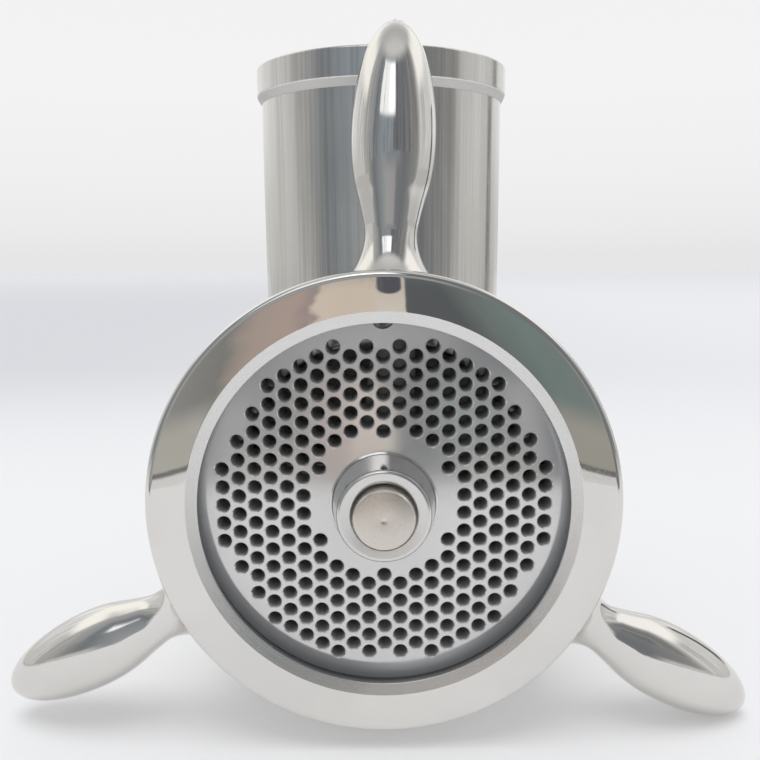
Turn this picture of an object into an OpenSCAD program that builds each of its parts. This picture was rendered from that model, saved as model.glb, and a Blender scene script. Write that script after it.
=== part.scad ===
// Hand crank meat grinder: a size 32 head with a three-handled clamp ring,
// a bored grinding plate, a worm and knife, a bolt-down foot and a rear crank.
// The origin is the centre of the foot's underside. The worm axis runs along Y,
// with the plate at the -Y end and the crank at the +Y end.

/* [Place] */
// Height of the worm axis above the foot's underside
axis_h = 65; // [62:0.5:80]
// Distance from the plate's front face to the middle of the foot
foot_to_plate = 70; // [66:1:76]

/* [Grinding plate] */
// Outer diameter of the plate
plate_d = 100; // [90:0.5:112]
// Thickness of the plate
plate_t = 10; // [9:0.5:11]
// Distance between neighbouring holes
hole_pitch = 4.75; // [4.4:0.05:8]
// Diameter of one hole
hole_d = 3.5; // [2:0.1:4]
// Least distance from a hole's centre to the foot of the hub
hub_margin = 4.25; // [2.5:0.25:8]
// Least distance from a hole's centre to the plate's rim
rim_margin = 7.5; // [7:0.25:14]
// Diameter of the plate's hub where it meets the plate
hub_base_d = 27.6; // [25:0.2:29]
// Diameter of the plate's hub at its front face
hub_front_d = 23.2; // [21:0.2:24.6]
// How far the hub stands in front of the plate
hub_h = 10.9; // [6:0.1:12]
// Diameter of the round-bottomed key slot in the plate's rim
slot_d = 6; // [5:0.5:7]
// Depth of the key slot from the plate's rim
slot_depth = 5; // [4:0.5:6]

/* [Clamp ring] */
// Wall of the ring round the thread
ring_wall = 5.2; // [4:0.1:9]
// Length of the ring behind the plate's front face
ring_back = 20.5; // [18:0.5:24]
// How far the ring's outer edge stands in front of the plate
ring_front = 8; // [6:0.2:12]
// Radius of the ring's rounded front edge
ring_round = 1.4; // [0.6:0.2:2]
// Width of the ring's dished face, from its outside to the lip's bevel
face_w = 9.8; // [6:0.2:12]
// Depth by which the face is dished at its inner edge
face_dish = 1.1; // [0.2:0.1:2]
// How far the lip's front edge reaches over the plate
lip_w = 3.5; // [3:0.1:6]
// Depth of the lip's bevel
lip_bevel = 1; // [0.2:0.1:1.6]
// Width of the lip's back face on the plate
lip_seat_w = 2; // [1.5:0.1:2.8]
// Advance of the ring in one turn
thread_pitch = 6; // [3:0.5:8]

/* [Ring handles] */
// Number of handles round the ring
handle_count = 3; // [3:1:3]
// Angle of the first handle from straight up, clockwise from the front
handle_turn = 1.8; // [0:0.1:30]
// Length of a handle outside the ring
handle_l = 59.5; // [52:0.5:64]
// Backward lean of the handles
handle_lean = 8.5; // [0:0.5:10]
// Distance of the handle's root behind the plate's front face
handle_root = 2.85; // [2:0.05:6]
// Largest diameter of a handle
handle_d = 20.8; // [18:0.2:22]
// Diameter of the handle's waist
waist_d = 12.9; // [11:0.1:14]
// Radius of the hollow curve between waist and ring
waist_sweep = 12.3; // [10:0.1:16]
// Distance from the ring to the handle's thickest place
belly_out = 31.8; // [29:0.1:34]
// Distance from the ring to the handle's waist
waist_out = 8.1; // [7:0.1:9]

/* [Barrel] */
// Inside diameter of the worm chamber
chamber_d = 80; // [78:0.5:82]
// Wall of the barrel round the chamber
barrel_wall = 7; // [6:0.5:8]
// Distance from the neck's axis back to the chamber's rear wall
chamber_tail = 36; // [36:0.5:44]
// Thickness of the rear wall
rear_wall = 7; // [6:0.5:9]
// Wall of the threaded mouth round the plate
mouth_wall = 3.5; // [3:0.1:6]
// Depth of the mouth behind the knife
knife_room = 0.5; // [0.5:0.1:3]
// Diameter of the rear hub
rear_hub_d = 42; // [40:1:48]
// Length of the rear hub behind the rear wall
rear_hub_l = 22; // [20:1:26]

/* [Feed neck] */
// Gap between the ring's back and the neck's rim, seen from the side
neck_gap = 1.9; // [1.7:0.1:6]
// Outside diameter of the neck
neck_d = 70.6; // [60:0.2:71]
// Wall of the neck round the feed pan's seat
neck_wall = 3.5; // [2.5:0.5:5]
// Depth of the feed pan's seat below the neck's top
pan_depth = 41; // [30:1:44]
// Width of the ledge under the feed pan's seat
pan_ledge = 1.5; // [1:0.5:3]
// Height of the neck's top above the worm axis
neck_top = 115.3; // [100:0.1:118]
// How far the rim stands out from the neck
rim_out = 1.3; // [0.6:0.1:3]
// Height of the rim
rim_h = 7.4; // [5:0.2:10]
// Height of the slope under the rim
rim_slope = 2.3; // [1:0.1:4]

/* [Foot] */
// Width of the foot
foot_w = 104; // [96:2:110]
// Length of the foot along the worm axis
foot_l = 70; // [64:2:72]
// Thickness of the foot
foot_t = 9; // [8:0.5:11]
// Distance from the foot's side edges to the bolt holes
bolt_side = 10; // [8:0.5:12]
// Distance from the foot's end edges to the bolt holes
bolt_end = 11; // [8:0.5:14]
// Diameter of each bolt hole
bolt_d = 8.5; // [6:0.5:9]
// Width of the saddle that carries the barrel
saddle_w = 62; // [56:2:64]

/* [Worm and knife] */
// Gap on the radius between the worm's flight and the chamber
worm_gap = 0.6; // [0.4:0.1:1.5]
// Advance of the flight in one turn
worm_pitch = 36; // [30:1:40]
// Thickness of the flight along the axis
flight_t = 8; // [6:0.5:10]
// Diameter of the worm's core at its front
core_front_d = 34; // [30:1:36]
// Diameter of the worm's core at its rear
core_rear_d = 48; // [44:1:50]
// Thickness of the knife
knife_t = 12; // [10:0.5:12.5]
// Gap on the radius between the knife's tips and the mouth
knife_gap = 5.2; // [1:0.1:7]
// Width across the flats of the square that drives the knife
knife_square = 18; // [17:0.5:20]
// Diameter of the stud that runs in the plate's hub
stud_d = 15.6; // [14:0.1:16]
// How far the stud stands in front of the plate
stud_front = 14.3; // [12:0.1:16]

/* [Drive end] */
// Diameter of the worm's tail in the rear bush
tail_d = 22; // [20:0.5:24]
// Width across the flats of the tail's square
tail_square = 15; // [13:0.5:15]
// Wall of the rear bush
bush_wall = 3; // [2.5:0.5:4]
// Thickness of the thrust washer
thrust_t = 2; // [1.5:0.5:3]

/* [Crank] */
// Distance from the worm axis to the grip's axis
crank_throw = 125; // [90:1:126]
// Thickness of the crank's arm
arm_t = 12; // [10:1:14]
// Diameter of the crank's hub
crank_hub_d = 38; // [34:1:42]
// Length of the crank's hub
crank_hub_l = 20; // [18:1:22]
// Diameter of the eye that takes the grip's spindle
eye_d = 24; // [20:1:26]
// Length of the grip
grip_l = 96; // [80:1:110]
// Largest diameter of the grip
grip_d = 28; // [24:1:30]
// Diameter of the grip's spindle
spindle_d = 10; // [8:1:12]
// Diameter of the crank screw's thread
screw_d = 10; // [8:1:10]
// Span of the crank screw's wings
wing_span = 46; // [38:1:54]

/* [Fits] */
// Gap on the radius between a shaft and its bearing
run_gap = 0.05; // [0.02:0.01:0.09]
// Gap on the radius between parts that turn or slide past each other
free_gap = 0.3; // [0.3:0.05:0.5]
// Gap on each side of a part that drops into a seat
seat_gap = 0.2; // [0.1:0.05:0.3]

/* [Hidden] */
$fn = 96;

// A little extra length for cuts, so that no two faces coincide.
cut = 1;

// Barrel and mouth
plate_r = plate_d / 2;
chamber_r = chamber_d / 2;
barrel_r = chamber_r + barrel_wall;
mouth_r = plate_r + seat_gap;
mouth_front = 1;
mouth_depth = plate_t + knife_t + knife_room;
thread_r = mouth_r + mouth_wall;
thread_end = ring_back + 1.5;
shoulder_l = thread_r - barrel_r;
collar_shoulder = thread_end + shoulder_l;
collar_end = collar_shoulder + 3;
slot_r = slot_d / 2;
slot_at = plate_r - slot_depth + slot_r;

// Neck
neck_r = neck_d / 2;
pan_seat_r = neck_r - neck_wall;
throat_r = pan_seat_r - pan_ledge;
pan_seat_at = neck_top - pan_depth;
rim_edge = 0.6;
mouth_edge = 1;
rim_r = neck_r + rim_out;
neck_at = ring_back + neck_gap + rim_r;
chamber_end = neck_at + chamber_tail;
body_end = chamber_end + rear_wall;

// Foot
bolt_x = foot_w - 2 * bolt_side;
bolt_y = foot_l - 2 * bolt_end;

// Ring
ring_bore_r = thread_r + free_gap;
ring_r = ring_bore_r + ring_wall;
face_inner_r = ring_r - face_w;
lip_r = plate_r - lip_w;
lip_seat_r = plate_r - lip_seat_w;
rear_chamfer = 1;

// Handles, measured along the handle's own axis from the worm axis
handle_r = handle_d / 2;
waist_r = waist_d / 2;
waist_at = ring_r + waist_out;
belly_at = ring_r + belly_out;
tip_l = handle_l - belly_out;
root_depth = 1.2;
root_clear = 20;
belly_start = 14;
belly_l = 24.3;
handle_step = 360 / handle_count;

// Knife, worm and tail stations behind the plate's front face
knife_back = plate_t + knife_t;
worm_front = knife_back;
worm_back = chamber_end - thrust_t;
worm_l = worm_back - worm_front;
flight_r = chamber_r - worm_gap;
flight_angle = 360 * flight_t / worm_pitch;
square_l = knife_t - 1;
stud_r = stud_d / 2;
stud_root_d = 10;
stud_root_l = 18;
stud_chamfer = 0.7;
hub_sleeve_r = stud_r + 2.5;
tail_r = tail_d / 2;
hub_end = body_end + rear_hub_l;
seal_t = 4;
seal_r = tail_r + 5;
crank_front = hub_end + 1;
crank_back = crank_front + crank_hub_l;
tail_end = crank_back - 1;
bush_r = tail_r + bush_wall;
bush_end = hub_end - seal_t;

// Crank
arm_front = crank_front + (crank_hub_l - arm_t) / 2;
arm_back = arm_front + arm_t;
arm_hub_w = 30;
arm_eye_w = 20;
crank_washer_t = 2;
crank_washer_r = 13;
screw_r = screw_d / 2;
screw_reach = 16;
screw_head_r = 9;
screw_head_l = 9;
wing_t = 4;
wing_h = 15;
washer_back = crank_back + crank_washer_t;
spindle_r = spindle_d / 2;
spindle_neck_r = spindle_r - 1;
grip_washer_t = 1.5;
grip_washer_r = spindle_r + 5;
grip_front = arm_back + grip_washer_t + 0.2;
grip_back = grip_front + grip_l;
grip_r = grip_d / 2;
grip_end_r = grip_r - 3.5;
ferrule_t = 1.2;
ferrule_l = 8;
spindle_end = grip_back + 0.2;
nut_t = 7;
nut_r = 8;
nut_thread_r = 3;

// ---- Placing ----

// Children stand on the worm axis: their +Z runs back from the plate's front
// face, and their -Y points up.
module on_axis() {
    translate([0, -foot_to_plate, axis_h])
        rotate([-90, 0, 0])
            children();
}

// Children stand on the grip's axis, in the same sense.
module on_grip_axis() {
    on_axis()
        translate([0, -crank_throw, 0])
            children();
}

// Children stand on the feed neck's axis: their Z is height above the worm axis.
module on_neck() {
    translate([0, neck_at - foot_to_plate, axis_h])
        children();
}

// A ring or disc from station a to station b on the local axis.
module disc(a, b, r, bore_r = 0) {
    difference() {
        translate([0, 0, a])
            cylinder(h = b - a, r = r);
        if (bore_r > 0)
            translate([0, 0, a - cut])
                cylinder(h = b - a + 2 * cut, r = bore_r);
    }
}

// A square bar from station a to station b on the local axis.
module square_bar(a, b, width) {
    translate([-width / 2, -width / 2, a])
        cube([width, width, b - a]);
}

// ---- Body ----

// Outside of the collar and the barrel behind it as one solid.
module barrel_outside(back) {
    on_axis()
        rotate_extrude()
            polygon([
                [0, mouth_front],
                [thread_r - 1, mouth_front],
                [thread_r, mouth_front + 1],
                [thread_r, thread_end],
                [barrel_r, collar_shoulder],
                [barrel_r, back],
                [0, back]
            ]);
}

// Threaded collar that takes the plate and the knife, with the key's hole.
module mouth_collar() {
    color("silver")
        difference() {
            barrel_outside(collar_end);
            on_axis() {
                disc(0, mouth_depth, mouth_r);
                disc(mouth_depth - cut, collar_end + cut, chamber_r);
            }
            neck_hole();
            key_shape(0);
        }
}

// Tube round the worm, with the neck's hole in its top.
module barrel() {
    color("silver")
        difference() {
            on_axis()
                disc(collar_end, chamber_end, barrel_r, chamber_r);
            neck_hole();
        }
}

// The opening from the neck into the worm chamber.
module neck_hole() {
    on_neck()
        cylinder(h = neck_top + cut, r = throat_r);
}

// Open tube with a raised rim and a seat for a feed pan, cut to sit on the barrel.
module feed_neck() {
    color("silver")
        difference() {
            on_neck()
                rotate_extrude()
                    polygon([
                        [0, 0],
                        [neck_r, 0],
                        [neck_r, neck_top - rim_h - rim_slope],
                        [rim_r, neck_top - rim_h],
                        [rim_r, neck_top - rim_edge],
                        [rim_r - rim_edge, neck_top],
                        [0, neck_top]
                    ]);
            barrel_outside(body_end + cut);
            neck_hole();
            on_neck() {
                translate([0, 0, pan_seat_at])
                    cylinder(h = pan_depth + cut, r = pan_seat_r);
                translate([0, 0, neck_top - mouth_edge])
                    cylinder(h = 2 * mouth_edge, r1 = pan_seat_r, r2 = pan_seat_r + 2 * mouth_edge);
            }
        }
}

// Rear wall and bearing hub in one turned piece.
module rear_hub() {
    hub_r = rear_hub_d / 2;
    color("silver")
        on_axis()
            rotate_extrude()
                polygon([
                    [bush_r, chamber_end],
                    [barrel_r, chamber_end],
                    [barrel_r, body_end - 2],
                    [barrel_r - 2, body_end],
                    [hub_r + 4, body_end],
                    [hub_r, body_end + 4],
                    [hub_r, hub_end - 1],
                    [hub_r - 1, hub_end],
                    [seal_r, hub_end],
                    [seal_r, bush_end],
                    [bush_r, bush_end]
                ]);
}

// A flat plate with rounded corners.
module foot_plate() {
    corner = 10;
    for (sx = [-1, 1], sy = [-1, 1])
        translate([sx * (foot_w / 2 - corner), sy * (foot_l / 2 - corner), 0])
            cylinder(h = foot_t, r = corner);
    translate([-foot_w / 2 + corner, -foot_l / 2, 0])
        cube([foot_w - 2 * corner, foot_l, foot_t]);
    translate([-foot_w / 2, -foot_l / 2 + corner, 0])
        cube([foot_w, foot_l - 2 * corner, foot_t]);
}

// Bolt-down plate with a saddle shaped to the barrel.
module saddle_foot() {
    saddle_l = foot_l - 12;
    color("silver")
        difference() {
            union() {
                foot_plate();
                translate([-saddle_w / 2, -saddle_l / 2, foot_t - cut])
                    cube([saddle_w, saddle_l, axis_h - barrel_r * 0.6 - foot_t]);
            }
            barrel_outside(body_end + cut);
            for (sx = [-1, 1], sy = [-1, 1])
                translate([sx * bolt_x / 2, sy * bolt_y / 2, -cut])
                    cylinder(h = foot_t + 2 * cut, d = bolt_d);
        }
}

// The key is a dowel pressed through the mouth's wall, pointing at the axis.
module key_shape(shorter) {
    key_r = slot_r - free_gap;
    key_outer = thread_r - 1;
    on_axis()
        translate([0, -slot_at, plate_t / 2 + 0.5])
            rotate([90, 0, 0])
                cylinder(h = key_outer - slot_at - shorter, r = key_r);
}

module plate_key() {
    color("lightgray")
        key_shape(0.2);
}

// ---- Rear bearing ----

module rear_bush() {
    color("goldenrod")
        on_axis()
            disc(chamber_end, bush_end, bush_r, tail_r + run_gap);
}

module shaft_seal() {
    color("dimgray")
        on_axis()
            disc(bush_end, hub_end, seal_r, tail_r + run_gap);
}

module thrust_washer() {
    color("ivory")
        on_axis()
            disc(worm_back, chamber_end, core_rear_d / 2 + 2, tail_r + free_gap);
}

// ---- Worm, knife and plate ----

// One left-hand helical flight: a sector twisted along the axis.
module flight() {
    steps = 10;
    sector = [
        for (i = [0:steps]) flight_r * [cos(flight_angle * i / steps), sin(flight_angle * i / steps)]
    ];
    core = core_front_d / 4;
    inner = [
        for (i = [steps:-1:0]) core * [cos(flight_angle * i / steps), sin(flight_angle * i / steps)]
    ];
    flight_l = worm_l - 1;
    linear_extrude(height = flight_l, twist = 360 * flight_l / worm_pitch, slices = 64, $fn = 12)
        polygon(concat(sector, inner));
}

// Flighted core with a square in front for the knife and a tail behind.
module worm() {
    color("silver")
        on_axis()
            difference() {
                union() {
                    translate([0, 0, worm_front])
                        cylinder(h = worm_l, d1 = core_front_d, d2 = core_rear_d);
                    translate([0, 0, worm_front])
                        flight();
                    square_bar(worm_front - square_l, worm_front + cut, knife_square);
                    disc(worm_back - cut, crank_front, tail_r);
                    square_bar(crank_front - cut, tail_end, tail_square);
                }
                disc(0, worm_front - square_l + stud_root_l, stud_root_d / 2);
                disc(tail_end - screw_reach - 4, tail_end + cut, screw_r);
            }
}

// Hardened pin in the front of the worm.
module worm_stud() {
    color("rosybrown")
        on_axis()
            union() {
                disc(worm_front - square_l - cut, worm_front - square_l + stud_root_l, stud_root_d / 2);
                translate([0, 0, -stud_front + stud_chamfer])
                    cylinder(h = worm_front - square_l + stud_front - stud_chamfer, r = stud_r);
                translate([0, 0, -stud_front])
                    cylinder(h = stud_chamfer, r1 = stud_r - stud_chamfer, r2 = stud_r);
            }
}

// Four-bladed knife with its cutting faces against the plate.
module knife() {
    hub_r = 17;
    root_w = 17;
    tip_w = 11;
    tip_x = mouth_r - knife_gap;
    color("gainsboro")
        on_axis()
            difference() {
                union() {
                    disc(plate_t, knife_back, hub_r);
                    for (turn = [0:90:270])
                        rotate([0, 0, turn])
                            translate([0, 0, plate_t])
                                linear_extrude(height = knife_t - 3)
                                    polygon([
                                        [0, -root_w / 2],
                                        [tip_x, -root_w / 2],
                                        [tip_x, tip_w - root_w / 2],
                                        [0, root_w / 2]
                                    ]);
                }
                square_bar(plate_t - cut, knife_back + cut, knife_square + 2 * seat_gap);
            }
}

// Centres of the holes: a hexagonal grid with upright columns, kept clear of
// the hub and of the plate's rim.
function hole_centres() = [
    let (
        nearest = hub_base_d / 2 + hub_margin,
        farthest = plate_r - rim_margin,
        reach = ceil(farthest / hole_pitch / cos(30))
    )
    for (column = [-reach:reach], row = [-reach:reach])
        let (spot = hole_pitch * [column * cos(30), row + (column % 2 == 0 ? 0 : 0.5)])
        if (norm(spot) > nearest && norm(spot) < farthest)
            spot
];

// Drilled disc with a key slot in its rim.
module hole_plate() {
    color("lightgray")
        on_axis()
            linear_extrude(height = plate_t)
                difference() {
                    circle(r = plate_r);
                    for (spot = hole_centres())
                        translate(spot)
                            circle(d = hole_d, $fn = 24);
                    translate([0, -slot_at])
                        circle(r = slot_r);
                    translate([-slot_r, -slot_at - 2 * slot_r])
                        square([slot_d, 2 * slot_r]);
                    circle(r = hub_sleeve_r);
                }
}

// Tapered hub in front of the plate, with the sleeve that is pressed into it
// and the bore that the stud runs in.
module plate_hub() {
    hub_edge = 0.5;
    bore_r = stud_r + run_gap;
    color("lightgray")
        on_axis()
            rotate_extrude()
                polygon([
                    [bore_r + hub_edge, -hub_h],
                    [hub_front_d / 2 - hub_edge, -hub_h],
                    [hub_front_d / 2, -hub_h + hub_edge],
                    [hub_base_d / 2, 0],
                    [hub_sleeve_r, 0],
                    [hub_sleeve_r, plate_t],
                    [bore_r, plate_t],
                    [bore_r, -hub_h + hub_edge]
                ]);
}

// ---- Clamp ring and its handles ----

module clamp_ring() {
    steps = 8;
    rounding = [
        for (i = [0:steps])
            [
                ring_r - ring_round * (1 - sin(90 * i / steps)),
                -ring_front + ring_round * (1 - cos(90 * i / steps))
            ]
    ];
    inside = [
        [ring_r, ring_back - rear_chamfer],
        [ring_r - rear_chamfer, ring_back],
        [ring_bore_r, ring_back],
        [ring_bore_r, 0],
        [lip_seat_r, 0],
        [lip_r, -ring_front + face_dish + lip_bevel],
        [face_inner_r, -ring_front + face_dish]
    ];
    color("silver")
        on_axis()
            rotate_extrude()
                polygon(concat(rounding, inside));
}

// Half outline of a handle: hollow sweep, waist, belly and rounded tip.
// x is the radius of the handle, y the distance from the worm axis.
function handle_outline() =
    let (
        root_y = ring_r - root_depth,
        sweep_end = waist_at + 2.7,
        steps = 14,
        sweep = [
            for (i = [0:steps])
                let (y = root_y + (sweep_end - root_y) * i / steps)
                [waist_r + waist_sweep - sqrt(pow(waist_sweep, 2) - pow(y - waist_at, 2)), y]
        ],
        belly = [
            for (i = [0:steps])
                let (y = belly_at - belly_start * (1 - i / steps))
                [handle_r * sqrt(1 - pow((belly_at - y) / belly_l, 2)), y]
        ],
        tip = [
            for (i = [1:2 * steps])
                let (a = 90 * i / (2 * steps))
                [handle_r * cos(a), belly_at + tip_l * sin(a)]
        ]
    )
    concat([[0, root_y]], sweep, belly, tip);

// One handle, its angle measured clockwise from straight up, seen from the front.
module ring_handle(angle) {
    pivot = ring_r;
    color("silver")
        difference() {
            on_axis()
                rotate([0, 0, angle])
                    translate([0, -pivot, handle_root])
                        rotate([90 - handle_lean, 0, 0])
                            translate([0, 0, -pivot])
                                rotate_extrude()
                                    handle_half();
            on_axis()
                translate([0, 0, -ring_front - root_clear])
                    cylinder(h = ring_front + ring_back + 2 * root_clear, r = ring_r);
        }
}

// The outline as a shape on the positive side of its axis.
module handle_half() {
    polygon(handle_outline());
}

module ring_handle_top() {
    ring_handle(handle_turn);
}

module ring_handle_right() {
    ring_handle(handle_turn + handle_step);
}

module ring_handle_left() {
    ring_handle(handle_turn - handle_step);
}

// ---- Crank ----

// Hub with a square hole, tapered arm and eye.
module crank_arm() {
    color("silver")
        on_axis()
            difference() {
                union() {
                    disc(crank_front, crank_back, crank_hub_d / 2);
                    translate([0, -crank_throw, 0])
                        disc(arm_front, arm_back, eye_d / 2);
                    translate([0, 0, arm_front])
                        linear_extrude(height = arm_t)
                            polygon([
                                [-arm_hub_w / 2, 0],
                                [arm_hub_w / 2, 0],
                                [arm_eye_w / 2, -crank_throw],
                                [-arm_eye_w / 2, -crank_throw]
                            ]);
                }
                square_bar(crank_front - cut, crank_back + cut, tail_square + 2 * seat_gap);
                translate([0, -crank_throw, 0])
                    disc(arm_front - cut, arm_back + cut, spindle_neck_r);
            }
}

module crank_washer() {
    color("lightgray")
        on_axis()
            disc(crank_back, washer_back, crank_washer_r, screw_r + free_gap);
}

// Wing screw that holds the crank on the tail.
module crank_screw() {
    color("silver")
        on_axis() {
            disc(tail_end - screw_reach, washer_back + cut, screw_r - free_gap);
            disc(washer_back, washer_back + screw_head_l, screw_head_r);
            for (side = [0, 180])
                rotate([0, 0, side])
                    translate([0, wing_t / 2, washer_back])
                        rotate([90, 0, 0])
                            linear_extrude(height = wing_t)
                                polygon([
                                    [0, 1],
                                    [screw_head_r, 1],
                                    [wing_span / 2 - 2, wing_h * 0.45],
                                    [wing_span / 2, wing_h * 0.75],
                                    [wing_span / 2 - 3, wing_h],
                                    [wing_span / 2 - 8, wing_h * 0.95],
                                    [screw_head_r - 3, screw_head_l],
                                    [0, screw_head_l]
                                ]);
        }
}

// Shouldered spindle riveted into the arm's eye.
module grip_spindle() {
    color("silver")
        on_grip_axis() {
            disc(arm_front, arm_back + cut, spindle_neck_r);
            disc(arm_back, spindle_end, spindle_r);
            disc(spindle_end - cut, spindle_end + nut_t, nut_thread_r);
        }
}

module grip_washer() {
    color("lightgray")
        on_grip_axis()
            disc(arm_back, arm_back + grip_washer_t, grip_washer_r, spindle_r + run_gap);
}

// Turned wooden grip, thickest a little behind its middle.
module crank_grip() {
    steps = 24;
    body = [
        for (i = [0:steps])
            let (
                t = i / steps,
                z = grip_front + ferrule_t + (grip_l - 2 * ferrule_t) * t
            )
            [grip_end_r + (grip_r - grip_end_r) * sin(180 * pow(t, 1.15)), z]
    ];
    bore = spindle_r + free_gap;
    color("burlywood")
        on_grip_axis()
            difference() {
                rotate_extrude()
                    polygon(concat(
                        [[bore, grip_front + ferrule_t]],
                        body,
                        [[bore, grip_back - ferrule_t]]
                    ));
                ferrule_ring(grip_front, 1);
                ferrule_ring(grip_back, -1);
            }
}

// A thin cap over one end of the grip. The end face stands at station z and
// the cap runs in the direction given by way.
module ferrule_ring(z, way) {
    outer = grip_end_r + ferrule_t;
    translate([0, 0, z])
        mirror([0, 0, way > 0 ? 0 : 1])
            rotate_extrude()
                polygon([
                    [spindle_r + run_gap, 0],
                    [outer - 0.5, 0],
                    [outer, 0.5],
                    [outer, ferrule_l],
                    [grip_end_r - 0.4, ferrule_l],
                    [grip_end_r - 0.4, ferrule_t],
                    [spindle_r + run_gap, ferrule_t]
                ]);
}

module grip_ferrules() {
    color("lightgray")
        on_grip_axis() {
            ferrule_ring(grip_front, 1);
            ferrule_ring(grip_back, -1);
        }
}

// Domed nut that keeps the grip on its spindle.
module grip_nut() {
    color("silver")
        on_grip_axis()
            difference() {
                union() {
                    translate([0, 0, spindle_end])
                        cylinder(h = nut_t - 2, r = nut_r, $fn = 6);
                    disc(spindle_end + nut_t - 2 - cut, spindle_end + nut_t + 2, nut_r - 2);
                }
                disc(spindle_end - cut, spindle_end + nut_t, nut_thread_r);
            }
}

mouth_collar();
barrel();
feed_neck();
rear_hub();
saddle_foot();
plate_key();
rear_bush();
shaft_seal();
thrust_washer();
worm();
worm_stud();
knife();
hole_plate();
plate_hub();
clamp_ring();
ring_handle_top();
ring_handle_right();
ring_handle_left();
crank_arm();
crank_washer();
crank_screw();
grip_spindle();
grip_washer();
crank_grip();
grip_ferrules();
grip_nut();
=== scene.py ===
from functools import partial
from math import asin, atan2, ceil, cos, hypot, pi, radians, sin, sqrt, tan

import bmesh
import bpy
from bmesh.types import BMEdge, BMVert
from bpy.props import FloatProperty, FloatVectorProperty, IntProperty, PointerProperty
from mathutils import Matrix, Vector


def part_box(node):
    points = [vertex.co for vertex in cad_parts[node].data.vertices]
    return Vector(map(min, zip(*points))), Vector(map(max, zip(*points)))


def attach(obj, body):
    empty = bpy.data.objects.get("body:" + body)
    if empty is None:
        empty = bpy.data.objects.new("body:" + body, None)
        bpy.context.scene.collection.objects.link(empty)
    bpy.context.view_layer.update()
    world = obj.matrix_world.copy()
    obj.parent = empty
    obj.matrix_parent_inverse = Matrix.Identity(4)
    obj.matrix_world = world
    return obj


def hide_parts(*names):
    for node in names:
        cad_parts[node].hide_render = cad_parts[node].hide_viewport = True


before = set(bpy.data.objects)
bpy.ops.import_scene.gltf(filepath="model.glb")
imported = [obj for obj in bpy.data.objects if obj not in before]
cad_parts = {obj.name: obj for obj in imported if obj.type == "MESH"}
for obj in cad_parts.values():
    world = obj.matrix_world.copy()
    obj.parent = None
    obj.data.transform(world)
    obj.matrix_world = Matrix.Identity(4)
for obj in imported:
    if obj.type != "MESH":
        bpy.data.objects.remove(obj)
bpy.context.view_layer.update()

bl_info = {
    "name": "Hand Crank Meat Grinder",
    "version": (1, 0, 0),
    "blender": (4, 5, 0),
    "location": "View3D > Sidebar > Grinder",
    "description": "Dresses the frame of a hand crank meat grinder with finished metal and wood pieces",
    "category": "Add Mesh",
}

# ---- Places read from the frame ----
# A station is a distance behind the plate's front face, measured along the worm axis.

MM = 0.001
MICRON = 1e-6
FULL_TURN = 2 * pi
UP, BACK, RIGHT = Vector((0, 0, 1)), Vector((0, 1, 0)), Vector((1, 0, 0))
PLATE_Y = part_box("hole_plate")[0].y


def radius_of(node):
    """Half the width of a round node."""
    lo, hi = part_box(node)
    return (hi.x - lo.x) / 2


def middle(node, axis):
    """Middle of a node's box along axis 0, 1 or 2."""
    lo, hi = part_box(node)
    return (lo[axis] + hi[axis]) / 2


def ends(node):
    """Stations of a node's front and back."""
    return [corner.y - PLATE_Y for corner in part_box(node)]


AXIS_Z = middle("clamp_ring", 2)
GRIP_Z = middle("crank_grip", 2)
NECK_Y = middle("feed_neck", 1)
NECK_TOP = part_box("feed_neck")[1].z
RING_R = radius_of("clamp_ring")
PLATE_R = radius_of("hole_plate")
STUD_R = radius_of("worm_stud")
THREAD_R = radius_of("mouth_collar")
BARREL_R = radius_of("barrel")
WALL_END_R = radius_of("rear_hub")
SEAL_R = radius_of("shaft_seal")
BUSH_R = radius_of("rear_bush")
NECK_RIM_R = radius_of("feed_neck")
RING_FRONT, RING_BACK = ends("clamp_ring")
PLATE_T = ends("hole_plate")[1]
HUB_FRONT = ends("plate_hub")[0]
STUD_FRONT, STUD_BACK = ends("worm_stud")
COLLAR_FRONT, COLLAR_END = ends("mouth_collar")
BARREL_END = ends("barrel")[1]
HUB_END = ends("rear_hub")[1]
SEAL_FRONT = ends("shaft_seal")[0]
THRUST_FRONT = ends("thrust_washer")[0]
KNIFE_FRONT, KNIFE_BACK = ends("knife")
CRANK_FRONT, CRANK_BACK = ends("crank_arm")
WASHER_BACK = ends("crank_washer")[1]
SHANK_END, SCREW_BACK = ends("crank_screw")
GRIP_FRONT, GRIP_BACK = ends("grip_ferrules")
SPINDLE_FRONT = ends("grip_spindle")[0]
NUT_FRONT, NUT_BACK = ends("grip_nut")

SLEEVE_R = STUD_R + 2.5 * MM  # where the hub's sleeve is pressed into the plate
RUN_GAP = 0.05 * MM  # round a shaft that turns
SKIN = 0.01 * MM  # keeps a piece inside its solid
HANDLE_LEAN = 8.5  # degrees


# ---- Settings ----


def length(name, description, millimetres):
    return FloatProperty(
        name=name, description=description, default=millimetres * MM, min=0.0, unit="LENGTH", precision=5
    )


def share(name, description, default):
    return FloatProperty(
        name=name, description=description, default=default, min=0.0, max=1.0, subtype="FACTOR"
    )


def angle(name, description, degrees):
    return FloatProperty(name=name, description=description, default=radians(degrees), subtype="ANGLE")


def tone(name, description, default):
    return FloatVectorProperty(
        name=name, description=description, default=default, size=3, min=0.0, max=1.0, subtype="COLOR"
    )


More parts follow.
